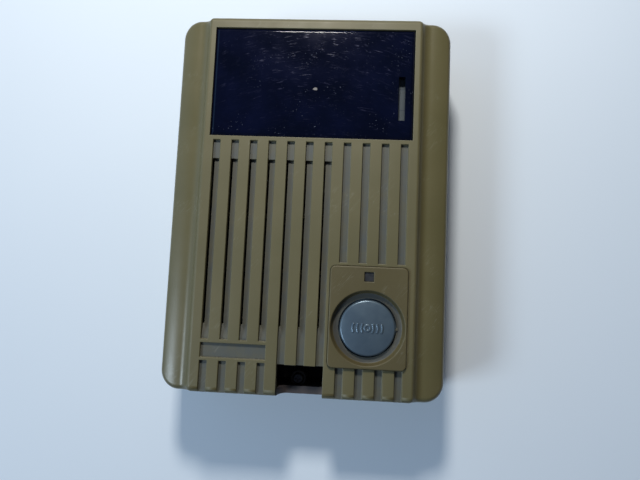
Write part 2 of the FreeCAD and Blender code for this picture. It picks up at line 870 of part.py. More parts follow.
def speaker_cone():
    """Paper cone with its rolled surround and dust cap."""
    seat_r = speaker_r - rim_w - slip
    mouth_r = seat_r - cone_air
    top = gasket_bottom_z
    low = basket_floor_z + basket_skin + cone_air
    step = (mouth_r - cone_throat_r) / 8
    paper = turned(speaker_x, speaker_y, [
        (seat_r, top - cone_skin), (seat_r, top), (mouth_r - step / 2, top),
        (mouth_r - step, top - cone_skin), (cone_throat_r, low + cone_skin),
        (cone_throat_r - cone_skin, low + cone_skin), (cone_throat_r - cone_skin, low),
        (cone_throat_r, low), (mouth_r - step, top - 2 * cone_skin)])
    cap_r = cone_throat_r
    ball_r = (cap_r ** 2 + dust_cap_h ** 2) / (2 * dust_cap_h)
    base = low + cone_skin
    ball = Part.makeSphere(ball_r, point(speaker_x, speaker_y, base + dust_cap_h - ball_r))
    inner = Part.makeSphere(ball_r - cone_skin, point(speaker_x, speaker_y, base + dust_cap_h - ball_r))
    cap = ball.cut(inner).common(rod(speaker_x, speaker_y, base, base + dust_cap_h, cap_r))
    return join(paper, cap)


def speaker_magnet():
    return ring(speaker_x, speaker_y, magnet_z, iron_z, magnet_bore_r, magnet_r)


def speaker_yoke():
    """Back plate of the magnet with its pole."""
    back = rod(speaker_x, speaker_y, yoke_z, magnet_z, magnet_r - yoke_inset)
    pole = rod(speaker_x, speaker_y, magnet_z, basket_floor_z, pole_r)
    return join(back, pole)


def speaker_top_plate():
    return ring(speaker_x, speaker_y, iron_z, basket_floor_z, magnet_bore_r, magnet_r - yoke_inset)


def screw(x, y, head_z, tip_z, head_r, shank_r):
    """Pan head screw along Z; the head's outer face is at head_z."""
    into = 1 if tip_z > head_z else -1
    under_head_z = head_z + into * screw_head_t
    low, high = sorted((head_z, under_head_z))
    head = rod(x, y, low, high, head_r)
    outer = [edge for edge in head.Edges
             if edge.BoundBox.ZLength < slip and abs(edge.BoundBox.ZMin - head_z) < slip]
    head = head.makeFillet(screw_head_t / 2, outer)
    low, high = sorted((under_head_z, tip_z))
    shank = rod(x, y, low, high, shank_r)
    low, high = sorted((head_z - into * overrun, head_z + into * driver_depth))
    arm = driver_r / 3
    cross = [box(x - driver_r, x + driver_r, y - arm, y + arm, low, high),
             box(x - arm, x + arm, y - driver_r, y + driver_r, low, high)]
    return join(head, shank).cut(cross)


def speaker_clips():
    clips = []
    for x, y, angle in clip_places():
        inner = clip_boss_r + clip_boss_gap + clip_reach
        clip = box(-inner, clip_boss_r, -clip_w / 2, clip_w / 2, rim_bottom_z - clip_t, rim_bottom_z)
        hole = rod(0, 0, rim_bottom_z - clip_t - overrun, rim_bottom_z + overrun, screw_r + slip)
        clip = clip.cut(hole)
        clip.rotate(point(0, 0, 0), point(0, 0, 1), angle)
        clip.translate(point(x, y, 0))
        clips.append(clip)
    return Part.makeCompound(clips)


def clip_screws():
    screws = []
    head_z = rim_bottom_z - clip_t - screw_head_t
    for x, y, angle in clip_places():
        screws.append(screw(x, y, head_z, ceiling_z - slip, screw_r + 2 * driver_depth, screw_r - slip))
    return Part.makeCompound(screws)


def microphone():
    return rod(mic_x, mic_y, mic_top_z - mic_h, mic_top_z, mic_r)


def microphone_boot():
    r = mic_r + boot_wall
    boot = rod(mic_x, mic_y, mic_top_z - mic_h, grille_back_z, r - slip)
    room = rod(mic_x, mic_y, mic_top_z - mic_h - overrun, mic_top_z, mic_r)
    port = rod(mic_x, mic_y, mic_top_z, grille_back_z + overrun, boot_port_r)
    return boot.cut([room, port])


def board_places():
    """Screw places of the circuit board."""
    right = board_right_x - board_hole_inset
    left = board_left_x + board_hole_inset
    foot_left = board_foot_left_x + board_hole_inset
    high = board_top_y - board_hole_inset
    low = board_bottom_y + board_hole_inset
    return [(right, high), (left, high), (right, low), (foot_left, low)]


def circuit_board():
    outline = [(board_left_x, board_top_y), (board_right_x, board_top_y),
               (board_right_x, board_bottom_y), (board_foot_left_x, board_bottom_y),
               (board_foot_left_x, board_step_y), (board_left_x, board_step_y)]
    corners = [point(x, y, board_z) for x, y in outline]
    corners.append(corners[0])
    board = Part.Face(Part.makePolygon(corners)).extrude(point(0, 0, board_t))
    holes = [rod(x, y, board_z - overrun, board_top_z + overrun, screw_r + slip)
             for x, y in board_places()]
    return board.cut(holes)


def board_screws():
    head_z = board_top_z + screw_head_t
    return Part.makeCompound([screw(x, y, head_z, tray_t, screw_head_r, screw_r - slip)
                              for x, y in board_places()])


def core_x():
    return board_right_x - core_w / 2 - slip


def transformer_core():
    """Square iron core with two windows for the coil."""
    x = core_x()
    block = box(x - core_w / 2, x + core_w / 2, core_y - core_h / 2, core_y + core_h / 2,
                board_top_z, board_top_z + core_t)
    limb = core_leg / 2
    cuts = []
    for side in (-1, 1):
        edges = sorted((x + side * limb, x + side * (core_w / 2 - core_leg / 2)))
        cuts.append(box(edges[0], edges[1], core_y - core_h / 2 - overrun, core_y + core_h / 2 + overrun,
                        board_top_z + core_leg / 2, board_top_z + core_t - core_leg / 2))
    return block.cut(cuts)


def transformer_coil():
    x = core_x()
    limb = core_leg / 2
    wide = core_w / 2 - core_leg / 2
    low = board_top_z + core_leg / 2
    high = board_top_z + core_t - core_leg / 2
    reach = core_h / 2 + coil_w / 6
    block = box(x - wide, x + wide, core_y - reach, core_y + reach, low, high)
    hole = box(x - limb, x + limb, core_y - core_h / 2, core_y + core_h / 2, low, high)
    return block.cut(hole)


def capacitors():
    cans = []
    right = board_right_x - can_r - slip
    for index in range(2):
        can = rod(right, can_top_y - index * can_pitch, board_top_z, board_top_z + can_h, can_r)
        top = [edge for edge in can.Edges if edge.BoundBox.ZMin > board_top_z + can_h - slip]
        cans.append(can.makeFillet(can_r / 6, top))
    return Part.makeCompound(cans)


def transistors():
    """Small plastic transistors with one flat side, on three legs."""
    pieces = []
    for index in range(2):
        x = board_right_x - transistor_r - slip - screw_r - index * transistor_pitch
        base = board_top_z + transistor_leg
        body = rod(x, transistor_y, base, base + transistor_h, transistor_r)
        flat = box(x - transistor_r, x + transistor_r, transistor_y - transistor_r - overrun,
                   transistor_y - transistor_flat, base - overrun, base + transistor_h + overrun)
        legs = [rod(x + side * lead_pitch / 2, transistor_y, board_top_z, base, lead_r)
                for side in (-1, 0, 1)]
        pieces.append(join(body.cut(flat), *legs))
    return Part.makeCompound(pieces)


def resistors():
    """Resistors lying on the board, with their bent legs."""
    pieces = []
    for index in range(resistor_count):
        y = resistor_y - index * resistor_pitch + resistor_pitch
        x = board_right_x - resistor_l
        axis_z = board_top_z + resistor_r + resistor_lift
        body = Part.makeCylinder(resistor_r, resistor_l, point(x - resistor_l / 2, y, axis_z), point(1, 0, 0))
        reach = resistor_l / 2 + 2 * resistor_lift
        bar = Part.makeCylinder(lead_r, 2 * reach, point(x - reach, y, axis_z), point(1, 0, 0))
        legs = [rod(x + side * (reach - lead_r), y, board_top_z, axis_z, lead_r) for side in (-1, 1)]
        pieces.append(join(body, bar, *legs))
    return Part.makeCompound(pieces)


def trimmer_x():
    return board_left_x + trimmer_side / 2 + lead_pitch


def trimmer_body():
    x = trimmer_x()
    half = trimmer_side / 2
    body = box(x - half, x + half, trimmer_y - half, trimmer_y + half, board_z - trimmer_h, board_z)
    seat = rod(x, trimmer_y, board_z - trimmer_h - overrun, board_z - trimmer_h + rotor_t, rotor_r + slip)
    return body.cut(seat)


def trimmer_rotor():
    x = trimmer_x()
    low = board_z - trimmer_h - rotor_t / 2
    rotor = rod(x, trimmer_y, low, board_z - trimmer_h + rotor_t - slip, rotor_r)
    slot = box(x - rotor_r, x + rotor_r, trimmer_y - rotor_slot_w / 2, trimmer_y + rotor_slot_w / 2,
               low - overrun, low + rotor_t / 2)
    return rotor.cut(slot)


def terminal_places():
    return [(-terminal_pitch / 2, terminal_y), (terminal_pitch / 2, terminal_y)]


def terminal_block():
    """Two-pole screw terminal that looks out through the back."""
    block = box(-terminal_w / 2, terminal_w / 2, terminal_y - terminal_h / 2, terminal_y + terminal_h / 2,
                tray_t, tray_t + terminal_d)
    wells = [rod(x, y, tray_t - overrun, tray_t + terminal_screw_len, terminal_screw_r)
             for x, y in terminal_places()]
    return block.cut(wells)


def terminal_screws():
    head_z = tray_t - screw_head_t
    return Part.makeCompound([screw(x, y, head_z, tray_t + terminal_screw_len - slip, terminal_head_r,
                                    terminal_screw_r - slip) for x, y in terminal_places()])


def tongue():
    """Upright tab of the rear case that closes the foot of the notch, higher at its left end."""
    x0 = notch_left_x + tongue_gap
    x1 = notch_right_x - tongue_gap
    top = case_d - tongue_drop
    start = point(x0, 0, top + tongue_rise_h)
    end = point(x0 + tongue_rise_w, 0, top)
    centre = point(end.x, 0, start.z)
    oval = Part.Ellipse(end, start, centre)
    rise = Part.ArcOfEllipse(oval, 0, math.pi / 2).toShape()
    edges = [rise, line(end, point(x1, 0, top)),
             line(point(x1, 0, top), point(x1, 0, 0)), line(point(x1, 0, 0), point(x0, 0, 0)),
             line(point(x0, 0, 0), start)]
    face = Part.Face(Part.Wire(Part.__sortEdges__(edges)))
    face.translate(point(0, bottom_y, 0))
    slab = face.extrude(point(0, tongue_t + case_lean, 0))
    return slab.common(leaning_block(case_w, case_h, case_corner_r, 0, case_d))


def rear_case():
    """Back tray: slab with a pocket for the steel plate, bosses, tongue and openings."""
    inner_w = case_w - 2 * wall - 2 * tray_gap
    inner_h = case_h - 2 * wall - 2 * tray_gap
    slab = leaning_block(inner_w, inner_h, case_corner_r - wall - tray_gap, 0, tray_t)
    adds = [tongue()]
    cuts = []
    for x, y in board_places():
        adds.append(rod(x, y, tray_t, board_z, boss_r))
        cuts.append(rod(x, y, tray_t, board_z + overrun, screw_r))
    for x, y in corner_places():
        cuts.append(rod(x, y, -overrun, tray_t + overrun, screw_r + slip))
        cuts.append(rod(x, y, -overrun, head_sink + screw_head_t, screw_head_r + slip))
    lock_seat = lock_head_z - screw_head_t
    adds.append(rod(lock_x, lock_y, tray_t, lock_seat, lock_boss_r))
    cuts.append(rod(lock_x, lock_y, -overrun, lock_seat + overrun, screw_r + slip))
    pocket_h = mount_top_y - mount_bottom_y + 2 * moulding_gap
    pocket_y = (mount_top_y + mount_bottom_y) / 2
    cuts.append(rounded_block(0, pocket_y, mount_w + 2 * moulding_gap, pocket_h,
                              mount_corner_r + moulding_gap, -overrun, plate_pocket))
    cuts.append(rounded_block(0, entry_y, entry_w, entry_h, wall, -overrun, tray_t + overrun))
    cuts.append(box(-terminal_w / 2 + terminal_barrier, terminal_w / 2 - terminal_barrier,
                    terminal_y - terminal_h / 2 + terminal_barrier,
                    terminal_y + terminal_h / 2 - terminal_barrier, -overrun, tray_t))
    for side in (-1, 1):
        cuts.append(rounded_block(0, side * mount_pitch / 2, access_w, access_h, wall,
                                  -overrun, tray_t + overrun))
        hook_y = mount_top_y - hook_inset
        cuts.append(box(side * hook_x - hook_w / 2 - moulding_gap, side * hook_x + hook_w / 2 + moulding_gap,
                        hook_y - mount_t - hook_lip, hook_y + hook_lip + moulding_gap,
                        -overrun, tray_t + overrun))
    cuts.append(rod(trimmer_x(), trimmer_y, -overrun, tray_t + overrun, trimmer_hole_r))
    return join(slab, *adds).cut(cuts)


def case_screws():
    return Part.makeCompound([screw(x, y, head_sink, case_screw_len, screw_head_r, screw_r - slip)
                              for x, y in corner_places()])


def mounting_plate():
    """Steel plate with two slots at the pitch of a wall box, a wire window and two bent hooks."""
    h = mount_top_y - mount_bottom_y
    y = (mount_top_y + mount_bottom_y) / 2
    plate = rounded_block(0, y, mount_w, h, mount_corner_r, 0, mount_t)
    cuts = [rounded_block(0, mount_window_y, mount_window_w, mount_window_h, mount_corner_r,
                          -overrun, mount_t + overrun)]
    for side in (-1, 1):
        cuts.append(rounded_block(0, side * mount_pitch / 2, mount_slot_w, mount_slot_len,
                                  mount_slot_w / 2 - touch, -overrun, mount_t + overrun))
    cuts.append(rod(lock_x, lock_y, -overrun, mount_t + overrun, screw_r))
    hooks = []
    top = mount_t + hook_rise
    for side in (-1, 1):
        x0 = side * hook_x - hook_w / 2
        x1 = side * hook_x + hook_w / 2
        y1 = mount_top_y - hook_inset
        hooks.append(box(x0, x1, y1 - mount_t, y1, 0, top + mount_t))
        hooks.append(box(x0, x1, y1 - mount_t, y1 + hook_lip, top, top + mount_t))
    return join(plate, *hooks).cut(cuts)


def lock_screw():
    return screw(lock_x, lock_y, lock_head_z, 0, lock_head_r, screw_r - slip)


def lead(points):
    """Insulated wire: straight runs joined by arcs that suit the runs."""
    path = []
    start = points[0]
    for before, corner, after in zip(points, points[1:], points[2:]):
        into = (corner - before).normalize()
        out = (after - corner).normalize()
        half_turn = into.getAngle(out) / 2
        shorter = min((corner - before).Length, (after - corner).Length)
        reach = bend_share * shorter
        r = reach / math.tan(half_turn)
        first = corner - into * reach
        last = corner + out * reach
        inward = (out - into).normalize()
        middle = corner + inward * (r / math.cos(half_turn) - r)
        path.append(line(start, first))
        path.append(arc(first, middle, last))
        start = last
    path.append(line(start, points[-1]))
    wire = Part.Wire(path)
    heading = points[1] - points[0]
    section = Part.Wire(Part.Circle(points[0], heading, lead_wire_r).toShape())
    return wire.makePipeShell([section], True, True)


def speaker_leads():
    """Two wires from the rim of the speaker down and across to the board."""
    rim_mid_r = speaker_r - rim_w / 2
    end_x = board_left_x + lead_spread
    level_z = (rim_bottom_z + board_top_z) / 2
    wires = []
    for side in (1, 2):
        across = speaker_r / 2 + side * 2 * lead_spread - lead_spread
        x = speaker_x + math.sqrt(rim_mid_r ** 2 - across ** 2)
        y = speaker_y + across
        wires.append(lead([point(x, y, rim_bottom_z), point(x, y, level_z),
                           point(end_x, y, level_z), point(end_x, y, board_top_z)]))
    return Part.makeCompound(wires)


def line_leads():
    """Two wires from the terminal block across and down to the board."""
    wires = []
    start_x = terminal_w / 2 - lead_spread
    level_z = board_top_z + lead_rise
    for side in (1, 2):
        x = board_left_x + board_hole_inset * 2 + lead_spread * side
        y = board_top_y - lead_spread * side
        wires.append(lead([point(start_x, y, tray_t + terminal_d), point(start_x, y, level_z),
                           point(x, y, level_z), point(x, y, board_top_z)]))
    return Part.makeCompound(wires)


pieces = {
    "front_cover": front_cover, "button_plate": button_plate, "call_button": call_button,
    "button_guide": button_guide, "return_spring": return_spring, "switch_body": switch_body,
    "switch_plunger": switch_plunger, "indicator_lens": indicator_lens,
    "indicator_lamp": indicator_lamp, "lamp_spacer": lamp_spacer, "name_window": name_window,
    "name_card": name_card, "speaker_cloth": speaker_cloth, "speaker_gasket": speaker_gasket,
    "speaker_basket": speaker_basket, "speaker_cone": speaker_cone,
    "speaker_magnet": speaker_magnet, "speaker_yoke": speaker_yoke,
    "speaker_top_plate": speaker_top_plate, "speaker_clips": speaker_clips,
    "clip_screws": clip_screws, "microphone": microphone, "microphone_boot": microphone_boot,
    "circuit_board": circuit_board, "board_screws": board_screws,
    "transformer_core": transformer_core, "transformer_coil": transformer_coil,
    "capacitors": capacitors, "transistors": transistors, "resistors": resistors,
    "trimmer_body": trimmer_body, "trimmer_rotor": trimmer_rotor,
    "terminal_block": terminal_block, "terminal_screws": terminal_screws,
    "speaker_leads": speaker_leads, "line_leads": line_leads, "rear_case": rear_case,
    "case_screws": case_screws, "mounting_plate": mounting_plate, "lock_screw": lock_screw,
}

for name, make in pieces.items():
    shape = make()
    shape.exportStep("parts/" + name + ".step")
    state = "valid" if shape.isValid() else "NOT VALID"
    print(name, state, len(shape.Solids), "solids", round(shape.Volume, 1), "mm3")
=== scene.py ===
import json
import math
import bmesh
import bpy
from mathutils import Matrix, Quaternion, Vector

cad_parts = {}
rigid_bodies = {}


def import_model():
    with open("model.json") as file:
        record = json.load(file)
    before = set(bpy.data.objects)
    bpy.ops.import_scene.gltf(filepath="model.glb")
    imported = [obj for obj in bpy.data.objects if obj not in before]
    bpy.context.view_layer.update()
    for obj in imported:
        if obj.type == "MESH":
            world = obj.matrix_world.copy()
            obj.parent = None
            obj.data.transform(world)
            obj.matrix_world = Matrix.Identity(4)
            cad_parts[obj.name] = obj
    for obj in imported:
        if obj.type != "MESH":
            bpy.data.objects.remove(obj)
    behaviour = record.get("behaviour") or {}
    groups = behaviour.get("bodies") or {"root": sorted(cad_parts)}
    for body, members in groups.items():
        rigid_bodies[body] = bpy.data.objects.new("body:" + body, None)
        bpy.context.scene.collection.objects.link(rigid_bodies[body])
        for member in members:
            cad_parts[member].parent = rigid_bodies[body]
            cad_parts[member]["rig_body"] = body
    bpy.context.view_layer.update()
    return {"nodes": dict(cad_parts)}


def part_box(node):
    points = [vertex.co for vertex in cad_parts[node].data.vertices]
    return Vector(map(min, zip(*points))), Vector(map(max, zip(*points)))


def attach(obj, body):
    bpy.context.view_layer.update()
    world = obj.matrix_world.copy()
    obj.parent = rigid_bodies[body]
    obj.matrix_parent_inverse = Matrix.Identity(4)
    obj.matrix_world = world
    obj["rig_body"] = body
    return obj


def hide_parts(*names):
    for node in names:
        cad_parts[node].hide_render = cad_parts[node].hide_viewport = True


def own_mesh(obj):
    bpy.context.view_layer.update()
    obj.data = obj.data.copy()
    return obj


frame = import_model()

print("frame loaded:", len(frame["nodes"]), "nodes")

mm = 0.001


def tone(red, green, blue):
    # screen colour, 0 to 255, as a linear colour
    def linear(value):
        share = value / 255
        return share / 12.92 if share <= 0.04045 else ((share + 0.055) / 1.055) ** 2.4
    return (linear(red), linear(green), linear(blue), 1.0)


class Flow:
    # wraps a socket: operators add Math nodes, node() adds any other node
    def __init__(self, tree, socket=None):
        self.tree = tree
        self.socket = socket

    def node(self, kind, settings=None, inputs=None, output=0):
        made = self.tree.nodes.new(kind)
        for name, value in (settings or {}).items():
            setattr(made, name, value)
        for name, value in (inputs or {}).items():
            if isinstance(value, Flow):
                self.tree.links.new(value.socket, made.inputs[name])
            else:
                made.inputs[name].default_value = value
        return None if output is None else Flow(self.tree, made.outputs[output])

    def maths(self, operation, *values):
        return self.node("ShaderNodeMath", {"operation": operation}, dict(enumerate(values)))

    def __add__(self, other):
        return self.maths("ADD", self, other)

    def __sub__(self, other):
        return self.maths("SUBTRACT", self, other)

    def __rsub__(self, other):
        return self.maths("SUBTRACT", other, self)

    def __mul__(self, other):
        return self.maths("MULTIPLY", self, other)

    def __truediv__(self, other):
        return self.maths("DIVIDE", self, other)

    def __gt__(self, other):
        return self.maths("GREATER_THAN", self, other)

    def __lt__(self, other):
        return self.maths("LESS_THAN", self, other)

    def __abs__(self):
        return self.maths("ABSOLUTE", self)

    def span(self, low, high, bottom=0.0, top=1.0):
        # maps low..high to bottom..top, held at both ends
        return self.node("ShaderNodeMapRange", {"clamp": True},
                         {"Value": self, "From Min": low, "From Max": high,
                          "To Min": bottom, "To Max": top})

    def blend(self, first, second):
        return self.node("ShaderNodeMix", {"data_type": "RGBA"}, {0: self, 6: first, 7: second}, 2)

    def noise(self, size, detail=2.0, roughness=0.5, stretch=(1, 1, 1), turn=0.0):
        # size is the length of one patch in metres, stretch its lengths along the turned axes
        lengths = [size * share for share in stretch]
        placed = self.node("ShaderNodeMapping", {"vector_type": "TEXTURE"},
                           {"Vector": self, "Rotation": (0, 0, turn), "Scale": lengths})
        return self.node("ShaderNodeTexNoise", {},
                         {"Vector": placed, "Scale": 1.0, "Detail": detail, "Roughness": roughness})

    def vector(self, operation, other, output=0):
        return self.node("ShaderNodeVectorMath", {"operation": operation}, {0: self, 1: other}, output)

    def axis(self, index):
        return self.node("ShaderNodeSeparateXYZ", {}, {0: self}, index)


def surface(name, build):
    # a material whose Principled sockets come from build(flow, place)
    material = bpy.data.materials.new(name)
    material.use_nodes = True
    material.node_tree.nodes.clear()
    flow = Flow(material.node_tree)
    place = flow.node("ShaderNodeTexCoord", {}, {}, "Object")
    shader = flow.node("ShaderNodeBsdfPrincipled", {}, build(flow, place))
    flow.node("ShaderNodeOutputMaterial", {}, {"Surface": shader}, None)
    return material


def bump(height, depth, strength=1.0, normal=None):
    inputs = {"Height": height, "Distance": depth, "Strength": strength}
    if normal:
        inputs["Normal"] = normal
    return height.node("ShaderNodeBump", {}, inputs)


noiseReach = (0.3, 0.7)  # nearly all values of a noise lie between these
# reach is how far the rounded normal differs from the flat one where an edge begins and where it is full
edgeMask = {"samples": 6, "reach": (0.004, 0.10)}


def softEdge(flow, radius):
    # normal with edges rounded off in shading, and a mask that is 1 on the edges
    rounded = flow.node("ShaderNodeBevel", {"samples": edgeMask["samples"]}, {"Radius": radius})
    straight = flow.node("ShaderNodeNewGeometry", {}, {}, "Normal")
    same = rounded.vector("DOT_PRODUCT", straight, "Value")
    return rounded, (1 - same).span(*edgeMask["reach"])


scratchStretch = (12, 1, 1)  # how much longer than wide a scratch is


def scratches(place, size, width, turn=0.0, seedShift=0.0):
    # thin lines along the turned x axis, 1 on a scratch
    moved = place.vector("ADD", (seedShift, seedShift, 0))
    field = moved.noise(size, 1.0, 0.4, scratchStretch, turn)
    return abs(field - 0.5).span(width, 0.0)


caseFinish = {
    "body": tone(90, 84, 55), "cloud": tone(97, 90, 61), "fleck": tone(116, 109, 82),
    # dust is the darker blue-grey of the recess floors: partly dust, partly painted shade and sky
    # reflection
    "dust": tone(64, 73, 82), "wornAndHighlight": tone(142, 142, 126),
    "edgeRadius": 0.30 * mm, "cloudSize": 22 * mm, "fleckSize": 0.7 * mm, "fleckShare": 0.25,
    "grainSize": 0.16 * mm, "grainDepth": 0.010 * mm, "dustSize": 5 * mm, "dustShare": 0.75,
    "dustAndShadeHeights": (26.4 * mm, 29.2 * mm), "dustAndShadeReach": 35 * mm, "wornAndHighlightSize": 6 * mm,
    "scratchSize": 0.8 * mm, "scratchTurn": 0.9, "scratchPatch": 12 * mm, "scratchShare": 0.25,
    "smearSize": 9 * mm, "panelRoughness": (0.48, 0.58), "wingRoughness": (0.29, 0.36),
    "wingStart": 38 * mm,
}
plateFinish = {**caseFinish, "body": tone(80, 71, 43), "cloud": tone(86, 77, 48)}


def casePlastic(flow, place, finish=caseFinish):
    rounded, edge = softEdge(flow, finish["edgeRadius"])
    cloud = place.noise(finish["cloudSize"], 3).span(*noiseReach)
    fleck = place.noise(finish["fleckSize"], 3, 0.6)
    grain = place.noise(finish["grainSize"], 3, 0.6)
    body = cloud.blend(finish["body"], finish["cloud"])
    body = fleck.span(0.62, 0.8, 0, finish["fleckShare"]).blend(body, finish["fleck"])
    # dust and painted shade: a darker blue-grey on the up-facing floors of the grooves, slots and dish,
    # partly dust and partly painted shade and cool sky reflection in these recesses
    height = place.axis(2)
    upward = flow.node("ShaderNodeNewGeometry", {}, {}, "Normal").axis(2).span(0.7, 0.95)
    lowest, highest = finish["dustAndShadeHeights"]
    low = (height < highest) * (height > lowest) * (abs(place.axis(0)) < finish["dustAndShadeReach"])
    dust = low * upward * place.noise(finish["dustSize"], 4, 0.7).span(0.25, 0.75, 0.45, 1.0)
    body = (dust * finish["dustShare"]).blend(body, finish["dust"])
    # edges lightened in patches: partly wear, partly a painted highlight along the rounded rib edges
    wornAndHighlight = edge * place.noise(finish["wornAndHighlightSize"], 3).span(0.35, 0.7, 0.2, 0.6)
    body = wornAndHighlight.blend(body, finish["wornAndHighlight"])
    lines = scratches(place, finish["scratchSize"], 0.02, finish["scratchTurn"])
    lines = lines * place.noise(finish["scratchPatch"], 2).span(0.56, 0.63)
    body = (lines * finish["scratchShare"]).blend(body, finish["wornAndHighlight"])
    # the textured panel is duller than the wings, which hands have polished
    smear = place.noise(finish["smearSize"], 4, 0.6)
    onWing = abs(place.axis(0)).span(finish["wingStart"] - mm, finish["wingStart"] + mm)
    dull = smear.span(*noiseReach, *finish["panelRoughness"])
    polished = smear.span(*noiseReach, *finish["wingRoughness"])
    return {"Base Color": body, "Roughness": dull + (polished - dull) * onWing - edge * 0.05,
            "Specular IOR Level": 0.5,
            "Normal": bump(grain + fleck * 0.6, finish["grainDepth"], 0.7, rounded)}


def platePlastic(flow, place):
    return casePlastic(flow, place, plateFinish)


backFinish = {
    "body": tone(62, 56, 57), "cloud": tone(69, 63, 63), "dust": tone(96, 92, 92),
    "edge": tone(104, 98, 97), "edgeRadius": 0.3 * mm, "edgeShare": 0.4, "cloudSize": 18 * mm,
    "grainSize": 0.3 * mm, "grainDepth": 0.02 * mm, "dustSize": 3 * mm, "dustShare": 0.4,
    "roughness": (0.5, 0.62),
}


def backPlastic(flow, place):
    rounded, edge = softEdge(flow, backFinish["edgeRadius"])
    cloud = place.noise(backFinish["cloudSize"], 4).span(*noiseReach)
    grain = place.noise(backFinish["grainSize"], 4, 0.7)
    body = cloud.blend(backFinish["body"], backFinish["cloud"])
    dust = place.noise(backFinish["dustSize"], 5, 0.7).span(0.55, 0.8, 0, backFinish["dustShare"])
    body = dust.blend(body, backFinish["dust"])
    body = (edge * backFinish["edgeShare"]).blend(body, backFinish["edge"])
    return {"Base Color": body, "Roughness": cloud.span(0, 1, *backFinish["roughness"]),
            "Normal": bump(grain, backFinish["grainDepth"], 0.8, rounded)}


buttonFinish = {
    "body": tone(86, 102, 116), "cloud": tone(93, 109, 121), "edge": tone(150, 162, 172),
    "edgeRadius": 0.25 * mm, "edgeShare": 0.45, "cloudSize": 4 * mm, "grainSize": 0.12 * mm,
    "grainDepth": 0.004 * mm, "scratchSize": 0.5 * mm, "scratchTurn": 0.4, "scratchPatch": 3 * mm,
    "scratchShare": 0.12, "metallic": 0.45, "roughness": (0.28, 0.36),
}


def buttonPlastic(flow, place):
    rounded, edge = softEdge(flow, buttonFinish["edgeRadius"])
    cloud = place.noise(buttonFinish["cloudSize"], 4).span(*noiseReach)
    grain = place.noise(buttonFinish["grainSize"], 3, 0.6)
    body = cloud.blend(buttonFinish["body"], buttonFinish["cloud"])
    body = (edge * buttonFinish["edgeShare"]).blend(body, buttonFinish["edge"])
    lines = scratches(place, buttonFinish["scratchSize"], 0.02, buttonFinish["scratchTurn"])
    lines = lines * place.noise(buttonFinish["scratchPatch"], 2).span(0.55, 0.65)
    body = (lines * buttonFinish["scratchShare"]).blend(body, buttonFinish["edge"])
    return {"Base Color": body, "Metallic": buttonFinish["metallic"],
            "Roughness": cloud.span(0, 1, *buttonFinish["roughness"]),
            "Normal": bump(grain, buttonFinish["grainDepth"], 0.6, rounded)}


# wiped and faint hold the size, width, turn and shift of their scratches, which thin out towards the sides;
# the scratches are painted pale as glints of the lamp
windowFinish = {
    "body": tone(2, 5, 22), "smear": tone(6, 12, 42), "scratchGlint": tone(96, 98, 132),
    "speck": tone(128, 134, 150), "chip": tone(112, 108, 106),
    "edgeRadius": 0.2 * mm, "smearSize": 14 * mm, "smearShare": 0.6, "roughness": (0.07, 0.12),
    "ior": 1.42, "bend": 75 * mm, "upperHalf": (30 * mm, 56 * mm), "middle": 4 * mm,
    "sides": (30 * mm, 8 * mm), "scratchPatch": 5 * mm, "scratchBreak": 1.8 * mm, "scratchShare": 0.46,
    "scratchDepth": 0.003 * mm,
    "wiped": (0.8 * mm, 0.024, 0.05), "faint": (0.5 * mm, 0.026, -0.12, 0.2), "faintShare": 0.45,
    "speckSize": 0.55 * mm, "speckPatch": 8 * mm, "speckShare": 0.5,
    "chipPlace": (0.95 * mm, 39.6 * mm, 29.75 * mm), "chipRadius": (0.58 * mm, 0.40 * mm),
    "chipUneven": 0.7 * mm,
}


def windowPlastic(flow, place):
    rounded = softEdge(flow, windowFinish["edgeRadius"])[0]
    smear = place.noise(windowFinish["smearSize"], 5, 0.6).span(0.4, 0.75)
    # fine scratches from wiping, painted pale as glints of the lamp: shallow arcs, most of them in the
    # upper half near the middle, where the lamp's highlight falls
    across = place.axis(0)
    bowed = flow.node("ShaderNodeCombineXYZ", {},
                      {0: across, 1: place.axis(1) + across * across / (2 * windowFinish["bend"])})
    upper = place.axis(1).span(*windowFinish["upperHalf"], 0.25, 1.0)
    middle = abs(across - windowFinish["middle"]).span(*windowFinish["sides"], 0.35, 1.0)
    patches = place.noise(windowFinish["scratchPatch"], 3, 0.6)
    breaks = bowed.noise(windowFinish["scratchBreak"], 2, 0.5, (5, 1, 1))
    wiped = scratches(bowed, *windowFinish["wiped"]) * patches.span(0.50, 0.62) * breaks.span(0.45, 0.6)
    faint = scratches(bowed, *windowFinish["faint"]) * patches.span(0.52, 0.42) * breaks.span(0.55, 0.45)
    lines = (wiped + faint * windowFinish["faintShare"]) * upper * middle
    clusters = place.noise(windowFinish["speckPatch"], 2).span(0.50, 0.62)
    specks = place.noise(windowFinish["speckSize"], 1).span(0.70, 0.76) * clusters
    # one dull chip near the middle of the panel
    squeezed = place.vector("SUBTRACT", windowFinish["chipPlace"]).vector("MULTIPLY", (0.7, 1.0, 1.0))
    distance = squeezed.vector("LENGTH", (0, 0, 0), "Value")
    uneven = (place.noise(windowFinish["chipUneven"], 2) - 0.5) * 0.5 * mm
    chip = (distance + uneven).span(*windowFinish["chipRadius"])
    body = (smear * windowFinish["smearShare"]).blend(windowFinish["body"], windowFinish["smear"])
    body = (lines * windowFinish["scratchShare"]).blend(body, windowFinish["scratchGlint"])
    body = (specks * windowFinish["speckShare"]).blend(body, windowFinish["speck"])
    body = chip.blend(body, windowFinish["chip"])
    return {"Base Color": body, "IOR": windowFinish["ior"],
            "Roughness": smear.span(0, 1, *windowFinish["roughness"]) + lines * 0.25 + chip * 0.4,
            "Normal": bump(lines, -windowFinish["scratchDepth"], 0.6, rounded)}


lensFinish = {"body": tone(46, 47, 50), "cloud": tone(58, 58, 60), "edgeRadius": 0.15 * mm,
              "cloudSize": 1.2 * mm, "depth": 0.01 * mm, "roughness": (0.14, 0.24)}


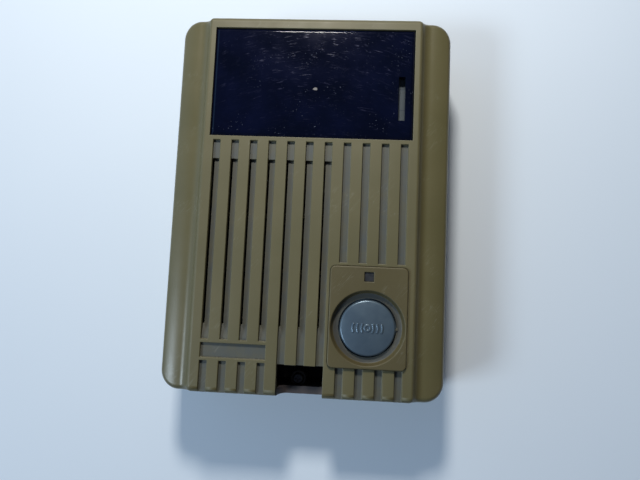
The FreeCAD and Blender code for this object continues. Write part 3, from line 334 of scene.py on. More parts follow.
def lensPlastic(flow, place):
    rounded = softEdge(flow, lensFinish["edgeRadius"])[0]
    cloud = place.noise(lensFinish["cloudSize"], 3).span(*noiseReach)
    body = cloud.blend(lensFinish["body"], lensFinish["cloud"])
    return {"Base Color": body, "Roughness": cloud.span(0, 1, *lensFinish["roughness"]),
            "Normal": bump(cloud, lensFinish["depth"], 0.5, rounded)}


plainSizes = {"cloudSize": 6 * mm, "grainSize": 0.25 * mm, "depth": 0.015 * mm, "spread": 0.1}
# material, low and high colour, roughness, and the size of the grain where it is coarser
plainFinishes = {
    "natural": ("naturalNylon", tone(206, 202, 188), tone(216, 212, 198), 0.45),
    "white": ("whiteNylon", tone(224, 222, 212), tone(232, 230, 222), 0.4),
    "black": ("blackPhenolic", tone(30, 30, 31), tone(40, 40, 41), 0.45),
    "rubber": ("softRubber", tone(26, 26, 27), tone(36, 36, 37), 0.7),
    "sleeve": ("blueSleeve", tone(34, 52, 98), tone(42, 62, 112), 0.28, 0.6 * mm),
    "paint": ("tanPaint", tone(186, 156, 116), tone(198, 168, 128), 0.35),
    "wire": ("redCover", tone(122, 28, 26), tone(140, 36, 32), 0.35),
    "tape": ("amberTape", tone(176, 134, 58), tone(190, 150, 72), 0.3, 1.2 * mm),
}


def plainPlastic(low, high, roughness, grainSize=plainSizes["grainSize"]):
    def build(flow, place):
        cloud = place.noise(plainSizes["cloudSize"], 4).span(*noiseReach)
        grain = place.noise(grainSize, 3, 0.6)
        return {"Base Color": cloud.blend(low, high),
                "Roughness": cloud.span(0, 1, roughness, roughness + plainSizes["spread"]),
                "Normal": bump(grain, plainSizes["depth"], 0.7)}
    return build


steelFinish = {
    "body": tone(176, 176, 168), "cloud": tone(196, 194, 182), "stain": tone(140, 128, 104),
    "edge": tone(214, 214, 210), "edgeRadius": 0.2 * mm, "edgeShare": 0.3, "cloudSize": 7 * mm,
    "brushSize": 0.4 * mm, "brushDepth": 0.004 * mm, "stainSize": 4 * mm, "stainShare": 0.6,
    "metallic": 0.9, "roughness": (0.34, 0.46),
}


def platedSteel(flow, place):
    rounded, edge = softEdge(flow, steelFinish["edgeRadius"])
    cloud = place.noise(steelFinish["cloudSize"], 5, 0.65).span(*noiseReach)
    brushed = place.noise(steelFinish["brushSize"], 2, 0.5, (20, 1, 1))
    body = cloud.blend(steelFinish["body"], steelFinish["cloud"])
    stain = place.noise(steelFinish["stainSize"], 6, 0.75).span(0.58, 0.75, 0, steelFinish["stainShare"])
    body = stain.blend(body, steelFinish["stain"])
    body = (edge * steelFinish["edgeShare"]).blend(body, steelFinish["edge"])
    return {"Base Color": body, "Metallic": steelFinish["metallic"],
            "Roughness": cloud.span(0, 1, *steelFinish["roughness"]) + stain * 0.2,
            "Normal": bump(brushed, steelFinish["brushDepth"], 0.6, rounded)}


ironFinish = {"gap": tone(52, 50, 48), "layer": tone(128, 124, 118), "rust": tone(104, 74, 50),
              "pitch": 0.5 * mm, "depth": 0.04 * mm, "rustSize": 2 * mm, "rustShare": 0.7,
              "metallic": 0.7, "roughness": (0.4, 0.7)}


def laminatedIron(flow, place):
    layers = flow.node("ShaderNodeTexWave", {"bands_direction": "Y"},
                       {"Vector": place, "Scale": 1 / ironFinish["pitch"] / math.tau * 2,
                        "Distortion": 0.2}, "Fac")
    rust = place.noise(ironFinish["rustSize"], 5, 0.7).span(0.5, 0.8, 0, ironFinish["rustShare"])
    body = layers.span(0.2, 0.6).blend(ironFinish["gap"], ironFinish["layer"])
    body = rust.blend(body, ironFinish["rust"])
    return {"Base Color": body, "Metallic": ironFinish["metallic"],
            "Roughness": rust.span(0, 1, *ironFinish["roughness"]),
            "Normal": bump(layers, ironFinish["depth"], 0.8)}


screwSizes = {"edgeRadius": 0.15 * mm, "cloudSize": 2 * mm, "grainSize": 0.2 * mm, "grainDepth": 0.01 * mm,
              "dirtSize": 0.9 * mm, "dirtShare": 0.7, "metallic": 0.95, "roughness": (0.28, 0.42)}
# darkest and palest metal, and the dirt on it
screwFinishes = {
    "plated": (tone(186, 186, 178), tone(206, 204, 194), tone(120, 112, 96)),
    "blackened": (tone(58, 56, 58), tone(74, 72, 74), tone(44, 38, 34)),
    "brass": (tone(196, 172, 112), tone(212, 192, 136), tone(128, 100, 58)),
    "wire": (tone(150, 152, 154), tone(182, 184, 186), tone(90, 86, 80)),
    "can": (tone(200, 200, 204), tone(214, 214, 216), tone(150, 148, 144)),
}


def screwMetal(low, high, dirt):
    def build(flow, place):
        rounded, edge = softEdge(flow, screwSizes["edgeRadius"])
        cloud = place.noise(screwSizes["cloudSize"], 4).span(*noiseReach)
        grain = place.noise(screwSizes["grainSize"], 3, 0.6)
        dirty = place.noise(screwSizes["dirtSize"], 5, 0.7).span(0.55, 0.75, 0, screwSizes["dirtShare"])
        return {"Base Color": dirty.blend(cloud.blend(low, high), dirt), "Metallic": screwSizes["metallic"],
                "Roughness": cloud.span(0, 1, *screwSizes["roughness"]) - edge * 0.08,
                "Normal": bump(grain, screwSizes["grainDepth"], 0.6, rounded)}
    return build


# the card is white; all its colours are painted darker blue-grey for the shade it lies in behind the panel
cardFinish = {"paper": tone(86, 94, 101), "shadedPatch": tone(82, 89, 94), "fibre": tone(72, 74, 72),
              "line": tone(54, 62, 80), "linePitch": 7.5 * mm, "lineShare": 0.5, "fibreSize": 0.5 * mm,
              "fibreShare": 0.35, "fibreDepth": 0.02 * mm, "patchSize": 20 * mm, "roughness": 0.9}


def paperCard(flow, place):
    fibre = place.noise(cardFinish["fibreSize"], 5, 0.7)
    shadedPatch = place.noise(cardFinish["patchSize"], 3).span(*noiseReach)
    body = shadedPatch.blend(cardFinish["paper"], cardFinish["shadedPatch"])
    body = fibre.span(0.55, 0.75, 0, cardFinish["fibreShare"]).blend(body, cardFinish["fibre"])
    # ruled lines to write names on
    row = place.maths("FRACT", place.axis(1) / cardFinish["linePitch"])
    rule = abs(row - 0.5).span(0.035, 0.02)
    body = (rule * cardFinish["lineShare"]).blend(body, cardFinish["line"])
    return {"Base Color": body, "Roughness": cardFinish["roughness"],
            "Normal": bump(fibre, cardFinish["fibreDepth"], 0.7)}


clothFinish = {"hollow": tone(16, 16, 18), "yarn": tone(52, 50, 50), "thread": 0.6 * mm, "uneven": 0.4,
               "depth": 0.06 * mm, "roughness": 0.92, "sheen": 0.3}


def wovenCloth(flow, place):
    threads = {"Vector": place, "Scale": 1 / clothFinish["thread"] / 3, "Distortion": clothFinish["uneven"]}
    across = flow.node("ShaderNodeTexWave", {"bands_direction": "X"}, threads, "Fac")
    along = flow.node("ShaderNodeTexWave", {"bands_direction": "Y"}, threads, "Fac")
    weave = across * along
    return {"Base Color": weave.blend(clothFinish["hollow"], clothFinish["yarn"]),
            "Roughness": clothFinish["roughness"], "Sheen Weight": clothFinish["sheen"],
            "Normal": bump(weave, clothFinish["depth"], 0.9)}


feltFinish = {"body": tone(70, 60, 46), "pale": tone(104, 92, 74), "fibreSize": 0.35 * mm,
              "depth": 0.08 * mm, "roughness": 0.95, "sheen": 0.2}


def feltCard(flow, place):
    fibre = place.noise(feltFinish["fibreSize"], 6, 0.75, (1, 3, 1))
    return {"Base Color": fibre.span(*noiseReach).blend(feltFinish["body"], feltFinish["pale"]),
            "Roughness": feltFinish["roughness"], "Sheen Weight": feltFinish["sheen"],
            "Normal": bump(fibre, feltFinish["depth"], 0.9)}


pulpFinish = {"body": tone(44, 43, 45), "pale": tone(74, 72, 72), "fibreSize": 0.6 * mm,
              "depth": 0.04 * mm, "roughness": 0.85}


def conePaper(flow, place):
    fibre = place.noise(pulpFinish["fibreSize"], 6, 0.7)
    return {"Base Color": fibre.span(*noiseReach).blend(pulpFinish["body"], pulpFinish["pale"]),
            "Roughness": pulpFinish["roughness"], "Normal": bump(fibre, pulpFinish["depth"], 0.8)}


boardFinish = {"body": tone(150, 112, 66), "pale": tone(172, 134, 84), "copper": tone(134, 96, 40),
               "copperTop": 8.05 * mm, "trackPitch": 5 * mm, "uneven": 0.55, "trackEdge": (0.16, 0.22),
               "fibreSize": 1.2 * mm, "depth": 0.03 * mm, "roughness": (0.55, 0.3), "metallic": 0.5}


def boardLaminate(flow, place):
    streak = place.noise(boardFinish["fibreSize"], 4, 0.6, (7, 1, 1))
    # copper tracks on the lower face only
    tracks = flow.node("ShaderNodeTexVoronoi", {"feature": "DISTANCE_TO_EDGE"},
                       {"Vector": place, "Scale": 1 / boardFinish["trackPitch"],
                        "Randomness": boardFinish["uneven"]}, "Distance")
    copper = (place.axis(2) < boardFinish["copperTop"]) * tracks.span(*boardFinish["trackEdge"])
    body = streak.span(*noiseReach).blend(boardFinish["body"], boardFinish["pale"])
    body = copper.blend(body, boardFinish["copper"])
    return {"Base Color": body, "Roughness": copper.span(0, 1, *boardFinish["roughness"]),
            "Metallic": copper * boardFinish["metallic"],
            "Normal": bump(copper + streak * 0.2, boardFinish["depth"], 0.8)}


resinFinish = {"body": tone(150, 32, 24), "pale": tone(176, 44, 32), "cloudSize": 1 * mm,
               "roughness": (0.08, 0.18), "clear": 0.5, "ior": 1.5}


def tintedResin(flow, place):
    cloud = place.noise(resinFinish["cloudSize"], 2).span(*noiseReach)
    return {"Base Color": cloud.blend(resinFinish["body"], resinFinish["pale"]),
            "Roughness": cloud.span(0, 1, *resinFinish["roughness"]),
            "Transmission Weight": resinFinish["clear"], "IOR": resinFinish["ior"]}


ferriteFinish = {"body": tone(40, 40, 43), "pale": tone(60, 60, 63), "pitSize": 0.5 * mm,
                 "depth": 0.05 * mm, "roughness": (0.5, 0.75)}


def ferriteBlock(flow, place):
    pits = place.noise(ferriteFinish["pitSize"], 5, 0.7)
    return {"Base Color": pits.span(*noiseReach).blend(ferriteFinish["body"], ferriteFinish["pale"]),
            "Roughness": pits.span(*noiseReach, *ferriteFinish["roughness"]),
            "Normal": bump(pits, ferriteFinish["depth"], 0.8)}


skins = {
    "case": surface("olivePlastic", casePlastic),
    "plate": surface("brownPlatePlastic", platePlastic),
    "back": surface("brownBackPlastic", backPlastic),
    "button": surface("greySatinPlastic", buttonPlastic),
    "window": surface("smokedPanel", windowPlastic),
    "blackened": surface("blackenedScrew", screwMetal(*screwFinishes["blackened"])),
    "lens": surface("smokyLens", lensPlastic),
    "card": surface("ruledCard", paperCard),
    "steel": surface("zincPlate", platedSteel),
    "iron": surface("coreIron", laminatedIron),
    "screw": surface("platedScrew", screwMetal(*screwFinishes["plated"])),
    "brass": surface("nickelledBrass", screwMetal(*screwFinishes["brass"])),
    "spring": surface("springWire", screwMetal(*screwFinishes["wire"])),
    "can": surface("microphoneCan", screwMetal(*screwFinishes["can"])),
    "cloth": surface("blackGauze", wovenCloth),
    "felt": surface("gasketFelt", feltCard),
    "cone": surface("conePulp", conePaper),
    "ferrite": surface("ferriteDark", ferriteBlock),
    "board": surface("phenolicBoard", boardLaminate),
    "resin": surface("redResin", tintedResin),
}
for skin, (name, *finish) in plainFinishes.items():
    skins[skin] = surface(name, plainPlastic(*finish))
print("materials made:", len(skins))

# the skin of each node's own shape
carried = {
    "button_guide": "natural", "lamp_spacer": "natural", "indicator_lamp": "resin",
    "return_spring": "spring", "switch_body": "black", "transistors": "black", "trimmer_body": "black",
    "switch_plunger": "white", "trimmer_rotor": "white", "speaker_basket": "steel",
    "speaker_yoke": "steel", "speaker_top_plate": "steel", "speaker_clips": "steel",
    "mounting_plate": "steel", "transformer_core": "iron", "clip_screws": "screw",
    "board_screws": "screw", "case_screws": "screw", "lock_screw": "blackened", "terminal_screws": "brass",
    "speaker_magnet": "ferrite", "microphone": "can", "microphone_boot": "rubber",
    "circuit_board": "board", "transformer_coil": "tape", "capacitors": "sleeve",
    "resistors": "paint", "terminal_block": "white", "speaker_leads": "wire", "line_leads": "wire",
    "front_cover": "case", "button_plate": "plate", "rear_case": "back", "call_button": "button",
    "name_window": "window", "name_card": "card", "indicator_lens": "lens",
    "speaker_cloth": "cloth", "speaker_gasket": "felt", "speaker_cone": "cone",
}
for node, skin in carried.items():
    paints = frame["nodes"][node].data.materials
    paints.clear()
    paints.append(skins[skin])


def put(name, mesh, skin, body, slot, *nodes):
    # links a finished mesh, and lets it ride and stand for its CAD nodes
    piece = bpy.data.objects.new(name, mesh)
    bpy.context.scene.collection.objects.link(piece)
    if skin:
        mesh.materials.clear()
        mesh.materials.append(skins[skin])
    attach(piece, body)
    if nodes:
        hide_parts(*nodes)
    return piece


joinSizes = {"merge": 0.002 * mm, "flatAngle": 0.3, "weight": 60}


def joined(node, name, skin, slot, sharpAngle):
    # the node's own shape as one merged mesh: flat faces in one piece, chamfers and rounds shaded soft
    source = frame["nodes"][node]
    body = source["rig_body"]
    shape = bmesh.new()
    shape.from_mesh(source.data)
    bmesh.ops.remove_doubles(shape, verts=shape.verts, dist=joinSizes["merge"])
    bmesh.ops.dissolve_limit(shape, angle_limit=math.radians(joinSizes["flatAngle"]),
                             verts=shape.verts, edges=shape.edges)
    for face in shape.faces:
        face.smooth = True
    for edge in shape.edges:
        edge.smooth = edge.calc_face_angle(0.0) < math.radians(sharpAngle)
    mesh = bpy.data.meshes.new(name)
    shape.to_mesh(mesh)
    shape.free()
    if "custom_normal" in mesh.attributes:
        mesh.attributes.remove(mesh.attributes["custom_normal"])
    piece = put(name, mesh, skin, body, slot, node)
    weighted = piece.modifiers.new("flatFaces", "WEIGHTED_NORMAL")
    weighted.keep_sharp = True
    weighted.weight = joinSizes["weight"]
    return piece


# node, name of the copy, skin, slot, and the angle in degrees from which an edge stays sharp
shells = (
    ("front_cover", "coverShell", "case", "case_plastic", 50),
    ("button_plate", "buttonFrame", "plate", "case_plastic", 50),
    ("name_window", "namePanel", "window", "window_plastic", 12),
    ("indicator_lens", "pilotLens", "lens", "lens_plastic", 30),
    ("call_button", "callCap", "button", "button_plastic", 40),
    ("rear_case", "backTray", "back", "back_plastic", 40),
    ("mounting_plate", "wallPlate", "steel", "zinc_steel", 40),
    ("case_screws", "caseScrews", "screw", "screw_steel", 30),
    ("lock_screw", "lockScrew", "blackened", "blackened_steel", 30),
    ("terminal_block", "wireBlock", "white", "terminal_plastic", 30),
    ("terminal_screws", "wireScrews", "brass", "screw_brass", 30),
    ("trimmer_body", "trimmerBase", "black", "switch_plastic", 30),
    ("trimmer_rotor", "trimmerDial", "white", "plunger_plastic", 30),
)
for shell in shells:
    joined(*shell)

bumpSizes = {"low": (-41.30 * mm, 5.30 * mm, 27.25 * mm), "high": (-39.64 * mm, 10.50 * mm, 27.56 * mm)}


def closeBump(name):
    # the top of a clip boss stands a quarter millimetre out of the left wing: the wing is closed over it
    def isBoss(place):
        return all(low < part < high for low, part, high in zip(bumpSizes["low"], place, bumpSizes["high"]))
    mesh = bpy.data.objects[name].data
    shape = bmesh.new()
    shape.from_mesh(mesh)
    spare = {face for face in shape.faces if all(isBoss(vert.co) for vert in face.verts)}
    rim = [edge for edge in shape.edges if len(spare.intersection(edge.link_faces)) == 1]
    bmesh.ops.delete(shape, geom=list(spare), context="FACES")
    filled = bmesh.ops.edgeloop_fill(shape, edges=rim)["faces"]
    for face in filled:
        face.smooth = True
        face.normal_update()
        if face.normal.z < 0:
            face.normal_flip()
    for edge in rim:
        edge.smooth = True
    shape.to_mesh(mesh)
    shape.free()
    print("faces taken out and put in over the clip boss:", len(spare), len(filled))


closeBump("coverShell")

# the spring keeps its foot on the guide; here it is joined as its own mesh, and the travel below is not
# used
springSizes = {"travel": 1.5 * mm, "sharpAngle": 60}
pressSpring = joined("return_spring", "pressSpring", "spring", "spring_steel", springSizes["sharpAngle"])
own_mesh(pressSpring)
print("visible shells joined")


def grow(name, sizes, recipe, skin):
    # builds the tree with named inputs, applies it and returns a plain mesh
    tree = bpy.data.node_groups.new(name, "GeometryNodeTree")
    tree.interface.new_socket("Geometry", in_out="INPUT", socket_type="NodeSocketGeometry")
    for label, value in sizes.items():
        kind = "NodeSocketInt" if isinstance(value, int) else "NodeSocketFloat"
        tree.interface.new_socket(label, in_out="INPUT", socket_type=kind)
    tree.interface.new_socket("Geometry", in_out="OUTPUT", socket_type="NodeSocketGeometry")
    entry = tree.nodes.new("NodeGroupInput")
    given = {label: Flow(tree, entry.outputs[label]) for label in sizes}
    flow = Flow(tree)
    real = flow.node("GeometryNodeRealizeInstances", {}, {"Geometry": recipe(flow, given)})
    painted = flow.node("GeometryNodeSetMaterial", {}, {"Geometry": real, "Material": skins[skin]})
    flow.node("NodeGroupOutput", {}, {"Geometry": painted}, None)
    seed = bpy.data.meshes.new(name + "Seed")
    seed.from_pydata([(0, 0, 0)], [], [])
    holder = bpy.data.objects.new(name + "Holder", seed)
    bpy.context.scene.collection.objects.link(holder)
    modifier = holder.modifiers.new("grow", "NODES")
    modifier.node_group = tree
    for item in tree.interface.items_tree:
        if item.in_out == "INPUT" and item.name in sizes:
            modifier[item.identifier] = sizes[item.name]
    holder.data.update()
    bpy.context.view_layer.update()
    evaluated = holder.evaluated_get(bpy.context.evaluated_depsgraph_get())
    mesh = bpy.data.meshes.new_from_object(evaluated)
    mesh.name = name
    holder.modifiers.remove(modifier)
    bpy.data.objects.remove(holder)
    return mesh


capLow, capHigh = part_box("call_button")
capCentre = (capLow + capHigh) / 2
soundMark = {
    "Arc count": 3, "First place": 1.95 * mm, "Arc pitch": 1.5 * mm, "Arc radius": 3.1 * mm,
    "Arc sweep": math.radians(56), "Ring radius": 0.92 * mm, "Bar width": 0.90 * mm, "Bar flatness": 0.48,
    "Dome radius": 48.0 * mm, "Top height": capHigh.z, "Centre X": capCentre.x, "Centre Y": capCentre.y,
    "Arc points": 14, "Ring points": 24, "Bar sides": 10,
}


def markRecipe(flow, given):
    # a ring with equal sound waves on both sides, laid on the dome of the cap
    arc = flow.node("GeometryNodeCurveArc", {"mode": "RADIUS"},
                    {"Resolution": given["Arc points"], "Radius": given["Arc radius"],
                     "Start Angle": given["Arc sweep"] * -0.5,
                     "Sweep Angle": given["Arc sweep"]}, "Curve")
    inward = flow.node("ShaderNodeCombineXYZ", {}, {0: given["First place"] - given["Arc radius"]})
    arc = flow.node("GeometryNodeTransform", {}, {"Geometry": arc, "Translation": inward})
    step = flow.node("ShaderNodeCombineXYZ", {}, {0: given["Arc pitch"]})
    line = flow.node("GeometryNodeMeshLine", {}, {"Count": given["Arc count"], "Offset": step})
    waves = flow.node("GeometryNodeInstanceOnPoints", {}, {"Points": line, "Instance": arc})
    waves = flow.node("GeometryNodeRealizeInstances", {}, {"Geometry": waves})
    back = flow.node("GeometryNodeTransform", {}, {"Geometry": waves, "Rotation": (0, 0, math.pi)})
    ring = flow.node("GeometryNodeCurvePrimitiveCircle", {},
                     {"Resolution": given["Ring points"], "Radius": given["Ring radius"]})
    paths = flow.tree.nodes.new("GeometryNodeJoinGeometry")
    for part in (waves, back, ring):
        flow.tree.links.new(part.socket, paths.inputs[0])
    profile = flow.node("GeometryNodeCurvePrimitiveCircle", {},
                        {"Resolution": given["Bar sides"], "Radius": given["Bar width"] * 0.5})
    joinedPaths = Flow(flow.tree, paths.outputs[0])
    bars = flow.node("GeometryNodeCurveToMesh", {},
                     {"Curve": joinedPaths, "Profile Curve": profile, "Fill Caps": True})
    place = flow.node("GeometryNodeInputPosition")
    x, y, z = (place.axis(part) for part in range(3))
    drop = (x * x + y * y) / (given["Dome radius"] * 2)
    moved = flow.node("ShaderNodeCombineXYZ", {},
                      {0: x + given["Centre X"], 1: y + given["Centre Y"],
                       2: z * given["Bar flatness"] - drop + given["Top height"]})
    laid = flow.node("GeometryNodeSetPosition", {}, {"Geometry": bars, "Position": moved})
    return flow.node("GeometryNodeSetShadeSmooth", {}, {0: laid})


markMesh = grow("soundMark", soundMark, markRecipe, "button")
put("soundMark", markMesh, None, "call_button", "button_plastic")
print("sound mark on the cap:", len(markMesh.polygons), "faces")


def finished(shape, name):
    # bmesh to a smooth mesh with its faces outwards
    bmesh.ops.remove_doubles(shape, verts=shape.verts, dist=0.001 * mm)
    bmesh.ops.recalc_face_normals(shape, faces=shape.faces)
    mesh = bpy.data.meshes.new(name)
    shape.to_mesh(mesh)
    shape.free()
    for face in mesh.polygons:
        face.use_smooth = True
    return mesh


def turned(name, profile, centre, sides):
    # turns (radius, height) points round the upright line through centre
    shape = bmesh.new()
    rows = []
    for radius, height in profile:
        rows.append([shape.verts.new((centre.x + radius * math.cos(math.tau * side / sides),
                                      centre.y + radius * math.sin(math.tau * side / sides), height))
                     for side in range(sides)])
    for before, after in zip(rows, rows[1:]):
        for side in range(sides):
            following = (side + 1) % sides
            shape.faces.new((before[side], after[side], after[following], before[following]))
    return finished(shape, name)


def thicken(piece, thickness):
    solid = piece.modifiers.new("thickness", "SOLIDIFY")
    solid.thickness = thickness
    solid.offset = 0


def middleOf(node):
    low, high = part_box(node)
    return (low + high) / 2, low, high


clothSizes = {"rings": 24, "sides": 96, "thickness": 0.42 * mm, "ripple": 0.03 * mm, "ripples": 3,
              "edge": 0.03 * mm}
centre, low, high = middleOf("speaker_cloth")
clothRadius = (high.x - low.x) / 2 - clothSizes["edge"]
clothProfile = []
for step in range(clothSizes["rings"] + 1):
    share = step / clothSizes["rings"]
    lift = clothSizes["ripple"] * math.sin(clothSizes["ripples"] * math.pi * share)
    clothProfile.append((clothRadius * share, centre.z + lift))
clothMesh = turned("speakerGauze", clothProfile, centre, clothSizes["sides"])
gauze = put("speakerGauze", clothMesh, "cloth", "housing", "cloth", "speaker_cloth")
thicken(gauze, clothSizes["thickness"])
print("speaker cloth done")

feltSizes = {"width": 3.2 * mm, "rings": 10, "sides": 96, "thickness": 0.40 * mm, "pile": 0.03 * mm,
             "waves": 5, "edge": 0.03 * mm}
centre, low, high = middleOf("speaker_gasket")
feltRadius = (high.x - low.x) / 2 - feltSizes["edge"]
feltProfile = []
for step in range(feltSizes["rings"] + 1):
    share = step / feltSizes["rings"]
    feltProfile.append((feltRadius - feltSizes["width"] * (1 - share),
                        centre.z + feltSizes["pile"] * math.sin(feltSizes["waves"] * math.pi * share)))
feltMesh = turned("feltRing", feltProfile, centre, feltSizes["sides"])
felt = put("feltRing", feltMesh, "felt", "housing", "gasket", "speaker_gasket")
thicken(felt, feltSizes["thickness"])

coneSizes = {"skin": 0.35 * mm, "rolls": 3, "rollHeight": 0.7 * mm, "rollWidth": 4.2 * mm,
             "rollRoom": 3, "throat": 7.2 * mm, "capHeight": 2.2 * mm, "capSteps": 8, "flare": 0.86,
             "steps": 14, "rollSteps": 8, "sides": 96, "lip": 1.0 * mm}
centre, low, high = middleOf("speaker_cone")
coneRadius = (high.x - low.x) / 2
mouth = coneRadius - coneSizes["lip"]
under = []
for step in range(coneSizes["capSteps"] + 1):
    share = step / coneSizes["capSteps"]
    dome = coneSizes["capHeight"] * (1 - share ** 2)
    under.append((coneSizes["throat"] * share, low.z + coneSizes["skin"] + dome))
coneRise = high.z - low.z - coneSizes["rollRoom"] * coneSizes["rollHeight"]
for step in range(1, coneSizes["steps"] + 1):
    share = step / coneSizes["steps"]
    radius = coneSizes["throat"] + (mouth - coneSizes["rollWidth"] - coneSizes["throat"]) * share
    under.append((radius, low.z + coneRise * share ** coneSizes["flare"]))
start = under[-1][1]
rim = high.z - coneSizes["skin"] - start
rollCount = coneSizes["rollSteps"] * coneSizes["rolls"]
for step in range(1, rollCount + 1):
    share = step / rollCount
    wave = abs(math.sin(math.pi * coneSizes["rolls"] * share)) * coneSizes["rollHeight"] * (1 - share)
    under.append((mouth - coneSizes["rollWidth"] * (1 - share), start + rim * share + wave))
under.append((coneRadius, high.z - coneSizes["skin"]))
over = [(radius, height + coneSizes["skin"]) for radius, height in reversed(under)]
coneMesh = turned("speakerPaper", under + over, centre, coneSizes["sides"])
put("speakerPaper", coneMesh, "cone", "housing", "paper_cone", "speaker_cone")
print("felt ring and paper cone done")

cardSizes = {"edge": 0.1 * mm, "bow": 0.05 * mm, "columns": 24, "rows": 14, "thickness": 0.22 * mm}
centre, low, high = middleOf("name_card")
shape = bmesh.new()
grid = []
for row in range(cardSizes["rows"] + 1):
    y = low.y + cardSizes["edge"] + (high.y - low.y - 2 * cardSizes["edge"]) * row / cardSizes["rows"]
    line = []
    for column in range(cardSizes["columns"] + 1):
        share = column / cardSizes["columns"]
        x = low.x + cardSizes["edge"] + (high.x - low.x - 2 * cardSizes["edge"]) * share
        line.append(shape.verts.new((x, y, centre.z + cardSizes["bow"] * math.cos(math.tau * share))))
    grid.append(line)
for before, after in zip(grid, grid[1:]):
    for column in range(cardSizes["columns"]):
        shape.faces.new((before[column], before[column + 1], after[column + 1], after[column]))
card = put("ruledSlip", finished(shape, "ruledSlip"), "card", "housing", "card", "name_card")
thicken(card, cardSizes["thickness"])
print("name card done")

# a nib at the rim of the button's bore, clear of the cap
nibSizes = {"place": (31.64 * mm, -41.9 * mm), "size": (0.7 * mm, 0.8 * mm, 0.6 * mm), "top": 29.0 * mm,
            "rounding": 0.12 * mm, "segments": 2}
shape = bmesh.new()
bmesh.ops.create_cube(shape, size=1.0)
for vert in shape.verts:
    vert.co.x = nibSizes["place"][0] + vert.co.x * nibSizes["size"][0]
    vert.co.y = nibSizes["place"][1] + vert.co.y * nibSizes["size"][1]
    vert.co.z = nibSizes["top"] + (vert.co.z - 0.5) * nibSizes["size"][2]
nibMesh = bpy.data.meshes.new("boreNib")
shape.to_mesh(nibMesh)
shape.free()
nib = put("boreNib", nibMesh, "case", "housing", "case_plastic")
rounding = nib.modifiers.new("edges", "BEVEL")
rounding.width = nibSizes["rounding"]
rounding.segments = nibSizes["segments"]

cameraSizes = {"place": (0.01487, -0.02939, 0.20432), "turn": (5.41, 3.14, 2.37), "lens": 29.22,
               "sensor": 36, "nearest": 0.005}
turn = Vector([math.radians(part) for part in cameraSizes["turn"]])
camera = bpy.data.objects.new("camera", bpy.data.cameras.new("camera"))
camera.data.lens = cameraSizes["lens"]
camera.data.sensor_width = cameraSizes["sensor"]
camera.data.clip_start = cameraSizes["nearest"]
camera.rotation_mode = "QUATERNION"
camera.rotation_quaternion = Quaternion(turn.normalized(), turn.length)
camera.location = cameraSizes["place"]
bpy.context.scene.collection.objects.link(camera)
bpy.context.scene.camera = camera


def areaLight(name, place, target, size, power, colour):
    lamp = bpy.data.lights.new(name, "AREA")
    lamp.shape = "RECTANGLE"
    lamp.size, lamp.size_y = size
    lamp.energy = power
    lamp.color = colour
    holder = bpy.data.objects.new(name, lamp)
    holder.location = place
    holder.rotation_mode = "QUATERNION"
    holder.rotation_quaternion = (Vector(target) - Vector(place)).to_track_quat("-Z", "Y")
    bpy.context.scene.collection.objects.link(holder)


keyLight = {"place": (-0.030, 0.276, 0.300), "target": (0, 0, 0.03), "size": (0.06, 0.06), "power": 1.36,
            "colour": (1.0, 0.97, 0.90)}
fillLight = {"place": (-0.57, -0.25, 0.60), "target": (0, 0, 0.03), "size": (0.22, 0.20), "power": 2.8,
             "colour": (0.74, 0.88, 1.0)}
areaLight("keyLight", **keyLight)
areaLight("fillLight", **fillLight)

floorSizes = {"reach": 3.0, "height": -0.0002, "cloudSize": 0.2, "low": (0.70, 0.76, 0.83, 1),
              "high": (0.73, 0.79, 0.86, 1), "roughness": 0.9, "contact": 2 * mm}


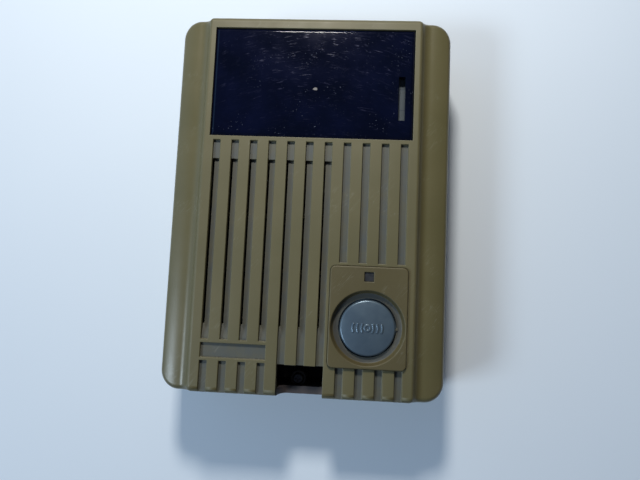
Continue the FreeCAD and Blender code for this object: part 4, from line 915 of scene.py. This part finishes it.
def floorSkin():
    material = bpy.data.materials.new("paleFloor")
    material.use_nodes = True
    material.node_tree.nodes.clear()
    flow = Flow(material.node_tree)
    place = flow.node("ShaderNodeTexCoord", {}, {}, "Object")
    cloud = place.noise(floorSizes["cloudSize"], 3).span(*noiseReach)
    paper = flow.node("ShaderNodeBsdfPrincipled", {},
                      {"Base Color": cloud.blend(floorSizes["low"], floorSizes["high"]),
                       "Roughness": floorSizes["roughness"]})
    clear = flow.node("ShaderNodeBsdfTransparent")
    under = flow.node("ShaderNodeNewGeometry", {}, {}, "Backfacing")
    # light gets through to the part's underside, which rests on the floor
    contact = flow.node("ShaderNodeLightPath", {}, {}, "Ray Length") < floorSizes["contact"]
    under = under.maths("MAXIMUM", under, contact)
    mixed = flow.node("ShaderNodeMixShader", {}, {0: under, 1: paper, 2: clear})
    flow.node("ShaderNodeOutputMaterial", {}, {"Surface": mixed}, None)
    return material


floorMesh = bpy.data.meshes.new("floor")
reach = floorSizes["reach"]
floorMesh.from_pydata([(-reach, -reach, 0), (reach, -reach, 0), (reach, reach, 0), (-reach, reach, 0)],
                      [], [(0, 1, 2, 3)])
floorMesh.materials.append(floorSkin())
floor = bpy.data.objects.new("floor", floorMesh)
floor.location.z = floorSizes["height"]
bpy.context.scene.collection.objects.link(floor)

# each wall: its colour, and where on the x axis of the view round it begins and is full
studio = {"horizon": (0.62, 0.66, 0.72, 1), "zenith": (0.16, 0.20, 0.29, 1), "heights": (0.15, 0.95),
          "window": (0.75, 1.45, 2.4, 1), "windowSpan": (-0.25, -0.85),
          "wall": (0.10, 0.11, 0.13, 1), "wallSpan": (0.15, 0.85),
          "seen": (0.86, 0.90, 0.95, 1), "seenStrength": 1.0, "lightStrength": 0.30}


def studioWorld():
    world = bpy.data.worlds.new("studio")
    world.use_nodes = True
    world.node_tree.nodes.clear()
    flow = Flow(world.node_tree)
    rays = flow.node("ShaderNodeLightPath")
    place = flow.node("ShaderNodeTexCoord", {}, {}, "Generated")
    room = place.axis(2).span(*studio["heights"]).blend(studio["horizon"], studio["zenith"])
    # a cool window lights the left side, and the right side faces a dark wall
    room = place.axis(0).span(*studio["windowSpan"]).blend(room, studio["window"])
    room = place.axis(0).span(*studio["wallSpan"]).blend(room, studio["wall"])
    seen = flow.node("ShaderNodeBackground", {},
                     {"Color": studio["seen"], "Strength": studio["seenStrength"]})
    light = flow.node("ShaderNodeBackground", {},
                      {"Color": room, "Strength": studio["lightStrength"]})
    mixed = flow.node("ShaderNodeMixShader", {}, {0: rays, 1: light, 2: seen})
    flow.node("ShaderNodeOutputWorld", {}, {"Surface": mixed}, None)
    bpy.context.scene.world = world


studioWorld()
bpy.context.scene.view_settings.view_transform = "Standard"
print("camera, light and floor done")
